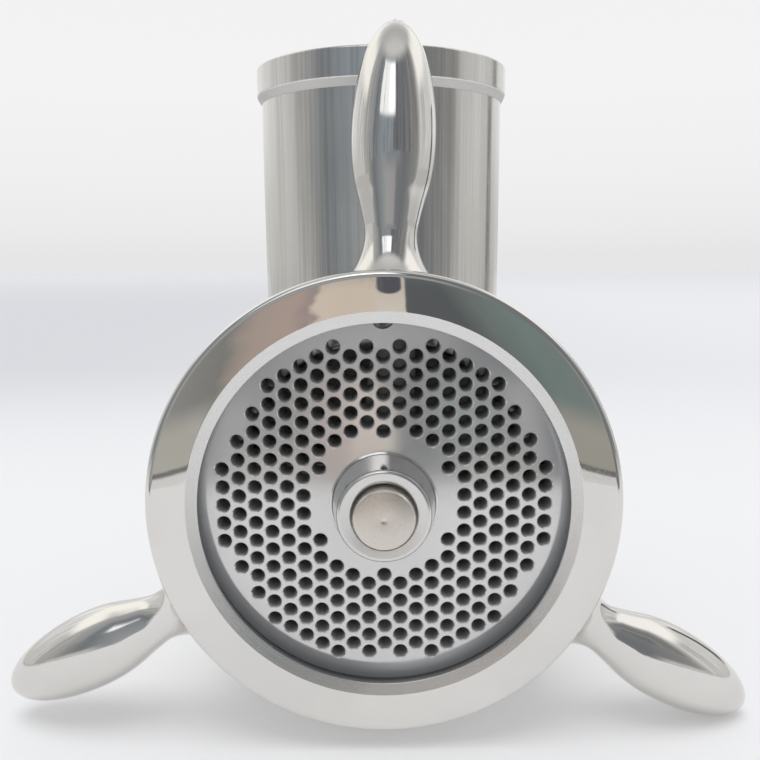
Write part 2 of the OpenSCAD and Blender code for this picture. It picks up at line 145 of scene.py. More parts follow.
class GrinderFinish(bpy.types.PropertyGroup):
    polished: tone("Polished steel", "Colour of the mirror-polished steel", (0.73, 0.715, 0.685))
    satin: tone("Satin steel", "Colour of the ground and lapped steel", (0.70, 0.69, 0.675))
    stud: tone("Stud steel", "Colour of the hardened stud", (0.70, 0.655, 0.60))
    bronze: tone("Bronze", "Colour of the bush", (0.70, 0.47, 0.24))
    rubber: tone("Rubber", "Colour of the shaft seal", (0.025, 0.025, 0.028))
    nylon: tone("Nylon", "Colour of the thrust washer", (0.83, 0.80, 0.72))
    wood_light: tone("Light wood", "Colour of the grip's early wood", (0.56, 0.33, 0.16))
    wood_dark: tone("Dark wood", "Colour of the grip's late wood", (0.34, 0.17, 0.07))
    mirror_roughness: share("Mirror roughness", "Roughness of the ring's face", 0.014)
    handle_roughness: share("Handle roughness", "Roughness of the ring's handles", 0.06)
    neck_roughness: share("Neck roughness", "Roughness of the neck and the barrel", 0.15)
    plate_roughness: share("Plate roughness", "Roughness of the lapped plate", 0.10)


class GrinderPlate(bpy.types.PropertyGroup):
    hole_pitch: length("Hole pitch", "Distance between neighbouring holes", 4.75)
    hole_d: length("Hole diameter", "Diameter of one hole", 3.5)
    hole_edge: length("Hole edge", "Width of the bevel round a hole", 0.24)
    hub_margin: length("Hub margin", "Least distance from a hole's centre to the hub", 4.25)
    rim_margin: length("Rim margin", "Least distance from a hole's centre to the rim", 7.5)
    hub_base_d: length("Hub base", "Diameter of the hub where it meets the plate", 27.6)
    hub_front_d: length("Hub front", "Diameter of the hub's front face", 23.2)
    hub_dish: length("Hub dish", "Depth of the dish in the hub's front face", 0.22)
    bore_edge: length("Bore edge", "Width of the bevel at the hub's bore", 0.25)
    bore_gap: length("Bore gap", "Width of the gap round the stud at the hub's front", 0.45)
    slot_d: length("Slot width", "Width of the key slot", 6)
    slot_depth: length("Slot depth", "Depth of the key slot from the rim", 5)


class GrinderRing(bpy.types.PropertyGroup):
    face_w: length("Face width", "Width of the dished face", 9.8)
    face_dish: length("Face dish", "Depth of the dish at its inner edge", 1.1)
    rounding: length("Rounding", "Radius of the outer front edge", 1.4)
    lip_w: length("Lip width", "How far the lip reaches over the plate", 3.5)
    lip_bevel: length("Lip bevel", "Depth of the lip's bevel", 1.0)
    lip_seat_w: length("Lip seat", "Width of the lip's face on the plate", 2.0)
    thread_pitch: length("Thread pitch", "Advance of the ring in one turn", 6)
    thread_depth: length("Thread depth", "Depth of the thread", 1.0)
    thread_gap: length("Thread gap", "Gap between the crests of ring and collar", 0.3)


class GrinderHandles(bpy.types.PropertyGroup):
    count: IntProperty(name="Handles", description="Number of handles", default=3, min=3, max=3)
    turn: angle("Turn", "Angle of the first handle from straight up, clockwise from the front", 1.8)
    lean: angle("Lean", "Backward lean", HANDLE_LEAN)
    root: length("Root", "Distance of the root behind the plate's front face", 2.85)
    length: length("Length", "Length outside the ring", 59.48)
    belly_d: length("Belly", "Largest diameter", 20.8)
    waist_d: length("Waist", "Diameter of the waist", 12.9)
    sweep: length("Sweep", "Radius of the hollow between waist and ring", 12.3)
    belly_out: length("Belly place", "Distance from the ring to the thickest place", 31.8)
    waist_out: length("Waist place", "Distance from the ring to the waist", 8.1)
    sunk: length("Sunk", "How far the root reaches into the ring", 1.5)
    belly_l: length("Belly length", "Half length of the belly's curve towards the waist", 24.3)


class GrinderNeck(bpy.types.PropertyGroup):
    neck_r: length("Neck radius", "Outside radius of the neck", 35.3)
    seat_r: length("Seat radius", "Radius of the feed pan's seat", 31.8)
    throat_r: length("Throat radius", "Radius of the throat under the seat", 30.3)
    seat_depth: length("Seat depth", "Depth of the seat below the top", 41)
    rim_h: length("Rim height", "Height of the rim", 7.4)
    rim_slope: length("Rim slope", "Height of the slope under the rim", 2.3)
    weld: length("Weld", "Radius of the ground weld between neck and barrel", 4)


class GrinderBody(bpy.types.PropertyGroup):
    chamber_r: length("Chamber radius", "Inside radius of the barrel", 40)
    mouth_gap: length("Mouth gap", "Gap round the plate in the mouth", 0.2)
    mouth_depth: length("Mouth depth", "Depth of the mouth", 22.5)
    rear_hub_r: length("Rear hub radius", "Radius of the rear hub", 21)
    rear_wall: length("Rear wall", "Thickness of the rear wall", 7)
    foot_corner: length("Foot corner", "Radius of the foot's corners", 10)
    foot_t: length("Foot thickness", "Thickness of the foot's plate", 9)
    bolt_x: length("Bolts across", "Distance between the bolt holes across the foot", 84)
    bolt_y: length("Bolts along", "Distance between the bolt holes along the foot", 48)
    bolt_d: length("Bolt hole", "Diameter of a bolt hole", 8.5)
    saddle_w: length("Saddle width", "Width of the saddle", 62)
    saddle_l: length("Saddle length", "Length of the saddle", 58)


class GrinderWorm(bpy.types.PropertyGroup):
    pitch: length("Pitch", "Advance of the flight in one turn", 36)
    flight_t: length("Flight", "Thickness of the flight", 8)
    core_front_r: length("Front core", "Radius of the core at its front", 17)
    core_rear_r: length("Rear core", "Radius of the core at its rear", 24)
    square: length("Knife square", "Width of the square that drives the knife", 18)
    tail_r: length("Tail", "Radius of the tail", 11)
    tail_square: length("Tail square", "Width of the tail's square", 15)
    stud_root_r: length("Stud root", "Radius of the stud's root", 5)


class GrinderCrank(bpy.types.PropertyGroup):
    hub_r: length("Hub radius", "Radius of the crank's hub", 19)
    arm_t: length("Arm thickness", "Thickness of the arm", 12)
    arm_hub_w: length("Arm at hub", "Width of the arm at its hub", 30)
    arm_eye_w: length("Arm at eye", "Width of the arm at its eye", 20)
    eye_r: length("Eye radius", "Radius of the eye", 12)
    grip_r: length("Grip radius", "Largest radius of the grip", 14)
    grip_end_r: length("Grip end radius", "Radius of the grip at its ends", 10.5)
    ferrule_t: length("Ferrule", "Thickness of a ferrule", 1.2)
    ferrule_l: length("Ferrule length", "Length of a ferrule", 8)
    spindle_r: length("Spindle", "Radius of the grip's spindle", 5)
    screw_r: length("Screw", "Radius of the wing screw's thread", 4.7)
    head_r: length("Screw head", "Radius of the wing screw's head", 9)
    wing_t: length("Wing", "Thickness of the wings", 4)


class GrinderStage(bpy.types.PropertyGroup):
    camera_place: FloatVectorProperty(
        name="Camera place", description="Where the camera stands", default=(-0.0004, -0.2792, 0.1275),
        subtype="TRANSLATION",
    )
    camera_turn: FloatVectorProperty(
        name="Camera turn", description="How the camera is turned",
        default=(radians(78.63), radians(0.405), radians(0.049)), subtype="EULER",
    )
    focal: FloatProperty(
        name="Focal length", description="In millimetres, on a 36 mm sensor", default=40.31, min=1.0
    )
    shift: FloatProperty(name="Shift", description="Upward shift of the frame", default=0.0605)
    floor_tone: share("Floor", "Brightness of the floor's colour", 0.92)
    shadow_lift: share("Shadow lift", "How much of the floor's white shows through its shadow", 0.27)
    paper_end: length("Paper end", "How far in front of the object the white paper ends", 320)


class GrinderSettings(bpy.types.PropertyGroup):
    finish: PointerProperty(type=GrinderFinish)
    plate: PointerProperty(type=GrinderPlate)
    ring: PointerProperty(type=GrinderRing)
    handles: PointerProperty(type=GrinderHandles)
    neck: PointerProperty(type=GrinderNeck)
    body: PointerProperty(type=GrinderBody)
    worm: PointerProperty(type=GrinderWorm)
    crank: PointerProperty(type=GrinderCrank)
    stage: PointerProperty(type=GrinderStage)


# ---- Shader maths ----


class Term:
    """A socket in a shader. Arithmetic on terms adds Math nodes."""

    def __init__(self, graph, socket):
        self.graph, self.socket = graph, socket

    def __add__(self, other):
        return self.graph.math("ADD", self, other)

    def __radd__(self, other):
        return self.graph.math("ADD", other, self)

    def __sub__(self, other):
        return self.graph.math("SUBTRACT", self, other)

    def __rsub__(self, other):
        return self.graph.math("SUBTRACT", other, self)

    def __mul__(self, other):
        return self.graph.math("MULTIPLY", self, other)

    def __rmul__(self, other):
        return self.graph.math("MULTIPLY", other, self)

    def __truediv__(self, other):
        return self.graph.math("DIVIDE", self, other)

    def __rtruediv__(self, other):
        return self.graph.math("DIVIDE", other, self)

    def __abs__(self):
        return self.graph.math("ABSOLUTE", self)

    def between(self, start, end, low=0.0, high=1.0):
        """A smooth step from low at start to high at end."""
        return self.graph.node(
            "ShaderNodeMapRange",
            {"interpolation_type": "SMOOTHSTEP", "clamp": True},
            {"Value": self, "From Min": start, "From Max": end, "To Min": low, "To Max": high},
        )


class Graph:
    """Builds one node tree."""

    def __init__(self, tree):
        self.tree = tree
        tree.nodes.clear()

    def node(self, kind, settings=None, inputs=None, output=0):
        """Adds a node, sets it up, then gives its sockets values or links. Returns one output."""
        made = self.tree.nodes.new(kind)
        for name, value in (settings or {}).items():
            setattr(made, name, value)
        for name, value in (inputs or {}).items():
            if isinstance(value, Term):
                self.tree.links.new(value.socket, made.inputs[name])
            else:
                made.inputs[name].default_value = value
        return Term(self, made.outputs[output]) if made.outputs else None

    def math(self, operation, *values):
        return self.node("ShaderNodeMath", {"operation": operation}, dict(enumerate(values)))

    def vector(self, operation, *values):
        return self.node("ShaderNodeVectorMath", {"operation": operation}, dict(enumerate(values)))

    def mix(self, factor, first, second):
        """A mix of two colours, each a term, a grey value or three numbers."""
        colours = [item if isinstance(item, Term) else rgba(item) for item in (first, second)]
        inputs = {0: factor, 6: colours[0], 7: colours[1]}
        return self.node("ShaderNodeMix", {"data_type": "RGBA"}, inputs, 2)

    def combine(self, x, y, z):
        return self.node("ShaderNodeCombineXYZ", None, {0: x, 1: y, 2: z})

    def split(self, vector):
        """The three parts of a vector."""
        made = self.node("ShaderNodeSeparateXYZ", None, {0: vector}).socket.node
        return [Term(self, output) for output in made.outputs]

    def noise(self, vector, scale=1.0, detail=2.0, roughness=0.5):
        inputs = {"Vector": vector, "Scale": scale, "Detail": detail, "Roughness": roughness}
        return self.node("ShaderNodeTexNoise", {"noise_dimensions": "3D"}, inputs)

    def ramp(self, factor, start, end, stops):
        """A colour ramp from start to end; stops are (place, colour)."""
        made = self.node("ShaderNodeValToRGB", None, {0: (factor - start) / (end - start)})
        band = made.socket.node.color_ramp
        while len(band.elements) < len(stops):
            band.elements.new(0.5)
        for element, (place, value) in zip(band.elements, stops):
            element.position = (place - start) / (end - start)
            element.color = rgba(value)
        return made

    def here(self):
        """Object coordinates."""
        return self.node("ShaderNodeTexCoord", output="Object")

    def ray(self, kind):
        """1 where a ray is of a kind, such as Camera."""
        return self.node("ShaderNodeLightPath", output=f"Is {kind} Ray")


def rgba(value):
    """A colour with alpha from a grey value or three numbers."""
    parts = (value,) * 3 if isinstance(value, (int, float)) else tuple(value)
    return (*parts, 1.0)


def scaled(colour, factor):
    return tuple(min(1.0, part * factor) for part in colour)


def material(name, build):
    """A material. build(graph) returns its shader, or the inputs of a Principled one."""
    made = bpy.data.materials.new(name)
    made.use_nodes = True
    graph = Graph(made.node_tree)
    shader = build(graph)
    if isinstance(shader, dict):
        shader = graph.node("ShaderNodeBsdfPrincipled", None, shader)
    graph.node("ShaderNodeOutputMaterial", None, {"Surface": shader})
    return made


WORM_AXIS = ("worm", Vector((0, 0, AXIS_Z)))
NECK_AXIS = ("neck", Vector((0, NECK_Y, 0)))
GRIP_AXIS = ("worm", Vector((0, 0, GRIP_Z)))
LATHE_FEED = 0.32 * MM


def round_and_along(graph, axis):
    """Radius from the axis, distance along it and the angle round it."""
    kind, centre = axis
    x, y, z = graph.split(graph.vector("SUBTRACT", graph.here(), centre))
    side, along = (y, z) if kind == "neck" else (z, y)
    return graph.math("SQRT", x * x + side * side), along, graph.math("ARCTAN2", x, side)


def lathe_lines(graph, axis):
    """Fine rings that a lathe or a polishing wheel leaves, as a value round 0.5."""
    radius, along, turn = round_and_along(graph, axis)
    return graph.noise(graph.combine(radius / LATHE_FEED, along / LATHE_FEED, turn * 1.4), 1.0, 3.0, 0.62)


def belt_lines(graph):
    """Fine lines that a belt leaves along the ring's handles, as a value round 0.5."""
    radius, along, turn = round_and_along(graph, WORM_AXIS)
    back = along - radius * tan(radians(HANDLE_LEAN))
    return graph.noise(graph.combine(turn * 75.0, back * 900.0, radius * 26.0), 1.0, 4.0, 0.62)


def drawn_lines(graph, axis):
    """Lines along a tube that was drawn through a die, as a value round 0.5."""
    _, along, turn = round_and_along(graph, axis)
    return graph.noise(graph.combine(turn * 34.0, along * 9.0, 0.0), 1.0, 4.0, 0.62)


def handling_marks(graph):
    """Sparse hairline scratches as a mask, stretched in two directions."""
    here = graph.here()
    lines = []
    for stretch in ((1.0, 14.0, 3.0), (11.0, 2.0, 1.0)):
        scratch = graph.noise(graph.vector("MULTIPLY", here, stretch), 55.0, 4.0, 0.7)
        lines.append(abs(scratch - 0.5).between(0.004, 0.0))
    return graph.math("MAXIMUM", *lines) * graph.noise(here, 38.0, 1.0).between(0.52, 0.66)


def bump(graph, height, depth):
    """A normal from a height in the range 0 to 1 that stands for a real depth in metres."""
    return graph.node("ShaderNodeBump", None, {"Strength": 1.0, "Distance": depth, "Height": height})


def steel(
    name, colour, roughness, axis, grain_depth, wave_depth,
    smear=0.05, drawn=0.0, scratched=1.0, belted=0.0, metallic=1.0,
):
    """Bare steel. Turned pieces get fine rings round their axis; the rest gets buffing marks.

    A drawn tube also gets fine lines along its axis, and a belted handle along itself.
    Depths are in micrometres. Scratched scales the handling marks.
    """

    def build(graph):
        cloud = graph.noise(graph.here(), 45.0, 3.0)
        marks = handling_marks(graph)
        waves = graph.noise(graph.here(), 120.0, 2.0, 0.4)
        grain = lathe_lines(graph, axis) if axis else graph.noise(graph.here(), 900.0, 4.0, 0.7)
        tint = graph.mix(cloud.between(0.3, 0.7), scaled(colour, 0.965), scaled(colour, 1.03))
        rough = cloud.between(0.35, 0.75) * smear + roughness + (grain - 0.5) * (roughness * 0.5)
        rough = rough + marks * (0.12 * scratched)
        height = grain * grain_depth + waves * wave_depth - marks * (1.2 * scratched)
        if drawn:
            lines = drawn_lines(graph, axis)
            height = height + lines * drawn
            rough = rough + lines.between(0.42, 0.62, 0.0, 0.07)
            tint = graph.mix(lines.between(0.36, 0.60), scaled(colour, 0.86), tint)
        if belted:
            lines = belt_lines(graph)
            height = height + lines * belted
            rough = rough + lines.between(0.5, 0.7, 0.0, 0.06)
        normal = bump(graph, height / wave_depth, wave_depth * MICRON)
        return {"Base Color": tint, "Metallic": metallic, "Roughness": rough, "Normal": normal}

    return material(name, build)


def painted_shade_wall(name, colour):
    """The back of the ring's lip, with painted shade that makes it darker the nearer it comes to the plate.
    """
    # Painted shade: a dark bluish colour near the plate and a lighter one away from it.
    near = [part * factor for part, factor in zip(colour, (0.10, 0.115, 0.13))]
    far = [part * factor for part, factor in zip(colour, (0.62, 0.65, 0.70))]

    def build(graph):
        radius, _, _ = round_and_along(graph, WORM_AXIS)
        grain = lathe_lines(graph, WORM_AXIS)
        # Painted shade: the share of the dark colour grows towards the plate, broken a little by the
        # lathe's rings.
        depth = radius.between(PLATE_R - 3.5 * MM, PLATE_R - 2.2 * MM) + (grain - 0.5) * 0.1
        tint, normal = graph.mix(depth, far, near), bump(graph, grain, 1 * MICRON)
        return {"Base Color": tint, "Metallic": 1.0, "Roughness": 0.36, "Normal": normal}

    return material(name, build)


def wood(name, light, dark, axis):
    """Oiled turned beech: rings along the grip, pores and a little wear."""

    def build(graph):
        x, y, z = graph.split(graph.vector("SUBTRACT", graph.here(), axis[1]))
        wander = graph.noise(graph.combine(x * 22.0, y * 5.0, z * 22.0))
        growth = graph.math("FRACT", (x + z * 0.35) * 420.0 + wander * 3.4)
        late = growth.between(0.55, 0.95)
        pits = graph.noise(graph.combine(x * 3200.0, y * 110.0, z * 3200.0)).between(0.62, 0.72)
        figure = graph.mix(late * 0.75, light, dark)
        wear = graph.noise(graph.here(), 60.0)
        return {
            "Base Color": graph.mix(pits * 0.6, figure, scaled(dark, 0.55)),
            "Roughness": wear.between(0.3, 0.7, 0.34, 0.5) + pits * 0.15,
            "Coat Weight": 0.12,
            "Coat Roughness": 0.25,
            "Normal": bump(graph, late * 0.25 - pits * 0.9, 0.04 * MM),
        }

    return material(name, build)


def plain(name, colour, roughness, grain_scale, depth):
    """Rubber or nylon: one colour that clouds a little over a fine grain."""

    def build(graph):
        cloud = graph.noise(graph.here(), 80.0, 3.0)
        return {
            "Base Color": graph.mix(cloud, scaled(colour, 0.85), scaled(colour, 1.12)),
            "Roughness": cloud.between(0.3, 0.7, roughness - 0.06, roughness + 0.08),
            "Normal": bump(graph, graph.noise(graph.here(), grain_scale, 3.0), depth),
        }

    return material(name, build)


def finishes(f):
    """Every material of the object, by name. They are made once."""
    if "mirror_ring" in bpy.data.materials:
        return bpy.data.materials
    bare = {
        # name: colour, roughness, axis, depth of grain and of waves in micrometres, what else differs
        "mirror_ring": (
            f.polished, f.mirror_roughness, WORM_AXIS, 0.10, 4, {"smear": 0.012, "scratched": 0.15}
        ),
        "buffed_handle": (f.polished, f.handle_roughness, None, 0.08, 6, {"scratched": 0.2, "belted": 9}),
        "drawn_neck": (f.polished, f.neck_roughness, NECK_AXIS, 1.1, 5, {"drawn": 4.5, "scratched": 0.3}),
        "turned_slope": (scaled(f.polished, 0.78), 0.34, NECK_AXIS, 0.9, 5, {"scratched": 0.3}),
        "turned_body": (f.polished, f.neck_roughness, WORM_AXIS, 0.9, 5, {"scratched": 0.5}),
        "ground_foot": (f.polished, 0.24, None, 0.7, 8, {"smear": 0.08}),
        "lapped_plate": (f.satin, f.plate_roughness, WORM_AXIS, 0.25, 3, {"smear": 0.03, "metallic": 0.70}),
        "drilled_bores": (scaled(f.satin, 0.72), 0.5, None, 4, 8, {"smear": 0.1, "metallic": 0.2}),
        "turned_lip": (scaled(f.satin, 1.08), 0.26, WORM_AXIS, 0.8, 3, {}),
        "turned_hub": (f.satin, 0.13, WORM_AXIS, 0.4, 2, {"smear": 0.03}),
        "turned_stud": (f.stud, 0.22, WORM_AXIS, 0.3, 3, {"smear": 0.06}),
        "ground_worm": (scaled(f.satin, 0.72), 0.36, WORM_AXIS, 1.0, 6, {"smear": 0.08, "metallic": 0.35}),
        "forged_crank": (f.polished, 0.12, None, 0.3, 7, {"smear": 0.06}),
        "turned_grip_steel": (f.polished, 0.16, GRIP_AXIS, 0.7, 3, {}),
        "bush_bronze": (f.bronze, 0.28, WORM_AXIS, 1.0, 3, {}),
    }
    for name, (*values, more) in bare.items():
        steel(name, *values, **more)
    # The lip's back wall has painted shade, darker towards the plate.
    painted_shade_wall("turned_wall", f.satin)
    wood("grip_beech", f.wood_light, f.wood_dark, GRIP_AXIS)
    plain("seal_rubber", f.rubber, 0.62, 2500.0, 0.02 * MM)
    plain("thrust_nylon", f.nylon, 0.42, 1800.0, 0.01 * MM)
    return bpy.data.materials


# ---- Modelling ----

ROUND_STEPS = 192
SMALL_STEPS = 64
SHARP = radians(28)
MERGE = 0.002 * MM
HOLD = 0.25 * MM


def steps_between(start, end, count):
    return [start + (end - start) * step / count for step in range(count + 1)]


def arc_points(centre, radius, start, end, steps):
    """Points on an arc from one angle to another, both ends included."""
    turns = steps_between(start, end, steps)
    return [(centre[0] + radius * cos(a), centre[1] + radius * sin(a)) for a in turns]


def box_outline(half_x, half_y, corner, steps, centre_y=0.0):
    """A rectangle with rounded corners, its middle at (0, centre_y)."""
    points = []
    for quarter, (sx, sy) in enumerate(((1, 1), (-1, 1), (-1, -1), (1, -1))):
        centre = (sx * (half_x - corner), centre_y + sy * (half_y - corner))
        points += arc_points(centre, corner, quarter * pi / 2, (quarter + 1) * pi / 2, steps)
    return points


def rounded(corners, arc):
    """A closed outline with its corners rounded.

    A corner is (radius from the axis, place along it) and, where it is round, the
    radius of its rounding. Each arc is held by a point a little way off on both
    sides, so that the flat next to it shades flat.
    """
    points = []
    for index, corner in enumerate(corners):
        here = Vector(corner[:2])
        if len(corner) < 3:
            points.append(here)
            continue
        before = (Vector(corners[index - 1][:2]) - here).normalized()
        after = (Vector(corners[(index + 1) % len(corners)][:2]) - here).normalized()
        half = before.angle(after) / 2
        reach = corner[2] / tan(half)
        centre = here + (before + after).normalized() * (corner[2] / sin(half))
        start = here + before * reach
        way = 1 if (start - centre).cross(here + after * reach - centre) > 0 else -1
        points.append(start + before * HOLD)
        for turn in steps_between(0, way * (pi - 2 * half), arc):
            points.append(centre + Matrix.Rotation(turn, 2) @ (start - centre))
        points.append(here + after * (reach + HOLD))
    return points


def spun(bm, points, origin, axis, out=RIGHT, closed=True, steps=ROUND_STEPS):
    """Spins an outline of (radius, place along the axis) points a full turn."""
    verts = [bm.verts.new(origin + axis * along + out * radius) for radius, along in points]
    pairs = list(zip(verts, verts[1:]))
    if closed:
        pairs.append((verts[-1], verts[0]))
    edges = [bm.edges.new(pair) for pair in pairs]
    bmesh.ops.spin(
        bm, geom=verts + edges, cent=origin, axis=axis, angle=FULL_TURN, steps=steps,
        use_merge=True, use_duplicate=False,
    )


def lathed(outline, arc=0, steps=ROUND_STEPS, closed=True, bm=None, axis_z=AXIS_Z):
    """Turns an outline of (radius, station) points on the worm axis, or on the grip's.

    Where arc is given, the points are corners for rounded.
    """
    bm = bmesh.new() if bm is None else bm
    points = rounded(outline, arc) if arc else outline
    spun(bm, points, Vector((0, PLATE_Y, axis_z)), BACK, RIGHT, closed, steps)
    return bm


def plain_ring(bore_r, outer_r, front, back, bore_edge, outer_edge, **how):
    """A flat ring with all its edges rounded."""
    corners = [
        (bore_r, front, bore_edge), (outer_r, front, outer_edge),
        (outer_r, back, outer_edge), (bore_r, back, bore_edge),
    ]
    return lathed(corners, **{"arc": 3, "steps": 96, **how})


def coil(bm, profile, turns, pitch, axis=BACK, steps_per_turn=ROUND_STEPS):
    """Sweeps a closed (radius, station) profile along a helix on the worm axis and caps both ends."""
    verts = [bm.verts.new(Vector((radius, PLATE_Y + along, AXIS_Z))) for radius, along in profile]
    edges = [bm.edges.new(pair) for pair in zip(verts, verts[1:] + verts[:1])]
    bm.faces.new(verts)
    steps = max(1, round(turns * steps_per_turn))
    result = bmesh.ops.spin(
        bm, geom=verts + edges, cent=Vector((0, 0, AXIS_Z)), axis=axis,
        dvec=BACK * (turns * pitch / steps), angle=FULL_TURN * turns, steps=steps,
        use_merge=False, use_duplicate=False,
    )
    last = [item for item in result["geom_last"] if isinstance(item, BMEdge)]
    bmesh.ops.contextual_create(bm, geom=last)


def mouth_thread(bm, root_r, crest_r, start, end, pitch):
    """The coarse thread of the ring or the collar."""
    crest, base = 0.30 * pitch, 0.58 * pitch
    profile = [
        (root_r, start), (crest_r, start + (base - crest) / 2),
        (crest_r, start + (base + crest) / 2), (root_r, start + base),
    ]
    coil(bm, profile, (end - start - base) / pitch, pitch)


def block(bm, corners, push, edge=0.0, segments=3, sharp=45, far_rim=False):
    """Extrudes a flat face and bevels its edges that are sharper than an angle, or its far rim."""
    face = bm.faces.new([bm.verts.new(corner) for corner in corners])
    grown = bmesh.ops.extrude_face_region(bm, geom=[face])["geom"]
    moved = [item for item in grown if isinstance(item, BMVert)]
    bmesh.ops.translate(bm, verts=moved, vec=push)
    if far_rim:
        kept = set(moved)
        rims = [item for item in grown if isinstance(item, BMEdge) and set(item.verts) <= kept]
    else:
        bmesh.ops.recalc_face_normals(bm, faces=bm.faces)
        rims = [e for e in bm.edges if len(e.link_faces) == 2 and e.calc_face_angle() > radians(sharp)]
    if edge > 0:
        bmesh.ops.bevel(
            bm, geom=rims, offset=edge, offset_type="OFFSET", affect="EDGES", segments=segments,
            profile=0.5, material=-1, clamp_overlap=True,
        )


def slab(bm, outline, start, end, edge=0.0, segments=3):
    """A block from a flat outline of (x, z) points, between two stations."""
    block(bm, [(x, PLATE_Y + start, z) for x, z in outline], BACK * (end - start), edge, segments)


def raised(bm, outline, bottom, top, edge):
    """A block from a flat outline of (x, y) points, its top rim bevelled."""
    block(bm, [(x, y, bottom) for x, y in outline], UP * (top - bottom), edge, 4, far_rim=True)


def rod(origin, axis, radius, start, end, steps=ROUND_STEPS):
    """A solid cylinder as a bmesh, for cutting."""
    bm = bmesh.new()
    spun(bm, [(0, start), (radius, start), (radius, end), (0, end)], origin, axis, RIGHT, False, steps)
    return bm


def close_mesh(bm):
    bmesh.ops.remove_doubles(bm, verts=bm.verts, dist=MERGE)
    bmesh.ops.recalc_face_normals(bm, faces=bm.faces)


def as_mesh(bm, name):
    """A smooth mesh with its hard edges marked, from a bmesh that is then freed."""
    mesh = bpy.data.meshes.new(name)
    bm.to_mesh(mesh)
    bm.free()
    mesh.shade_smooth()
    mesh.set_sharp_from_angle(angle=SHARP)
    return mesh


def joined(bm, other):
    """Adds another bmesh to a bmesh and frees it."""
    mesh = as_mesh(other, "joined")
    bm.from_mesh(mesh)
    bpy.data.meshes.remove(mesh)


def in_scene(name, data):
    """An object in the scene with the data given."""
    made = bpy.data.objects.new(name, data)
    bpy.context.scene.collection.objects.link(made)
    return made


def bored(bm, *cutters, shells=1):
    """The bmesh with each cutter bmesh taken away from it. It may be of several shells."""
    used = []
    for part in (bm, *cutters):
        close_mesh(part)
        used.append(in_scene("blank", as_mesh(part, "blank")))
    solid, *tools = used
    for tool in tools:
        cut = solid.modifiers.new("cut", "BOOLEAN")
        cut.operation, cut.solver, cut.use_self, cut.object = "DIFFERENCE", "EXACT", shells > 1, tool
    bpy.context.view_layer.update()
    evaluated = solid.evaluated_get(bpy.context.evaluated_depsgraph_get())
    result = bmesh.new()
    result.from_mesh(evaluated.to_mesh())
    evaluated.to_mesh_clear()
    for item in used:
        mesh = item.data
        bpy.data.objects.remove(item)
        bpy.data.meshes.remove(mesh)
    return result


def piece(bm, name, materials, body, node):
    """Makes a finished piece that rides on a body and stands for a CAD node.

    A face's material index says which of the materials it has.
    """
    close_mesh(bm)
    made = in_scene(name, as_mesh(bm, name))
    for finish in materials:
        made.data.materials.append(finish)
    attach(made, body)
    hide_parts(node)


def from_axis(face):
    """How far a face's middle lies from the worm axis."""
    spot = face.calc_center_median()
    return hypot(spot.x, spot.z - AXIS_Z)


# ---- Ring and handles ----


def shape_ring(settings):
    """Turned ring with a dished face, a lip over the plate and an inner thread."""
    s = settings.ring
    bore_r = THREAD_R + s.thread_gap
    groove_r = bore_r + s.thread_depth
    face_in, seat_in = RING_R - s.face_w, PLATE_R - s.lip_seat_w
    corners = [
        (RING_R, RING_FRONT, s.rounding),
        (face_in, RING_FRONT + s.face_dish, 0.25 * MM),
        (PLATE_R - s.lip_w, RING_FRONT + s.face_dish + s.lip_bevel, 0.25 * MM),
        (seat_in, 0),
        (groove_r, 0),
        (groove_r, RING_BACK, 0.5 * MM),
        (RING_R, RING_BACK, 0.9 * MM),
    ]
    bm = lathed(corners, 8)
    start, end = 0.25 * s.thread_pitch, RING_BACK - 0.5 * MM
    mouth_thread(bm, groove_r + 0.3 * MM, bore_r, start, end, s.thread_pitch)
    for face in bm.faces:
        out = from_axis(face)
        # The back of the lip gets the wall with painted shade.
        if out < seat_in + 0.1 * MM and face.normal.y > 0.1:
            face.material_index = 1
        elif out < face_in - 0.1 * MM and face.normal.y < -0.1:
            face.material_index = 2
    return bm


def hermite(t, start, end, slope_start, slope_end, span):
    """A cubic from start to end over a span, with a given slope at each end."""
    return (
        (2 * t**3 - 3 * t**2 + 1) * start
        + (t**3 - 2 * t**2 + t) * span * slope_start
        + (3 * t**2 - 2 * t**3) * end
        + (t**3 - t**2) * span * slope_end
    )


def handle_outline(s):
    """Half outline of a handle as (radius, distance from the worm axis) points, root first."""
    waist, belly = RING_R + s.waist_out, RING_R + s.belly_out
    waist_r, belly_r = s.waist_d / 2, s.belly_d / 2
    tip_l = s.length - s.belly_out
    hollow_end, belly_start = waist + 2.7 * MM, belly - 14 * MM

    def hollow(y):
        return waist_r + s.sweep - sqrt(s.sweep**2 - (y - waist) ** 2)

    def swell(y):
        return belly_r * sqrt(1 - ((belly - y) / s.belly_l) ** 2)

    rise, span = hollow_end - waist, belly_start - hollow_end
    slopes = (
        rise / sqrt(s.sweep**2 - rise**2),
        belly_r**2 * (belly - belly_start) / s.belly_l**2 / swell(belly_start),
    )
    joint = [
        (hermite(t, hollow(hollow_end), swell(belly_start), *slopes, span), hollow_end + t * span)
        for t in steps_between(0, 1, 10)[1:-1]
    ]
    root, root_r = RING_R - s.sunk, hollow(RING_R)
    return (
        [(0, root), (root_r, root)]
        + [(hollow(y), y) for y in steps_between(RING_R, hollow_end, 26)]
        + joint
        + [(swell(y), y) for y in steps_between(belly_start, belly, 20)]
        + [(belly_r * cos(a), belly + tip_l * sin(a)) for a in steps_between(0, pi / 2, 30)[1:-1]]
        + [(0, belly + tip_l)]
    )


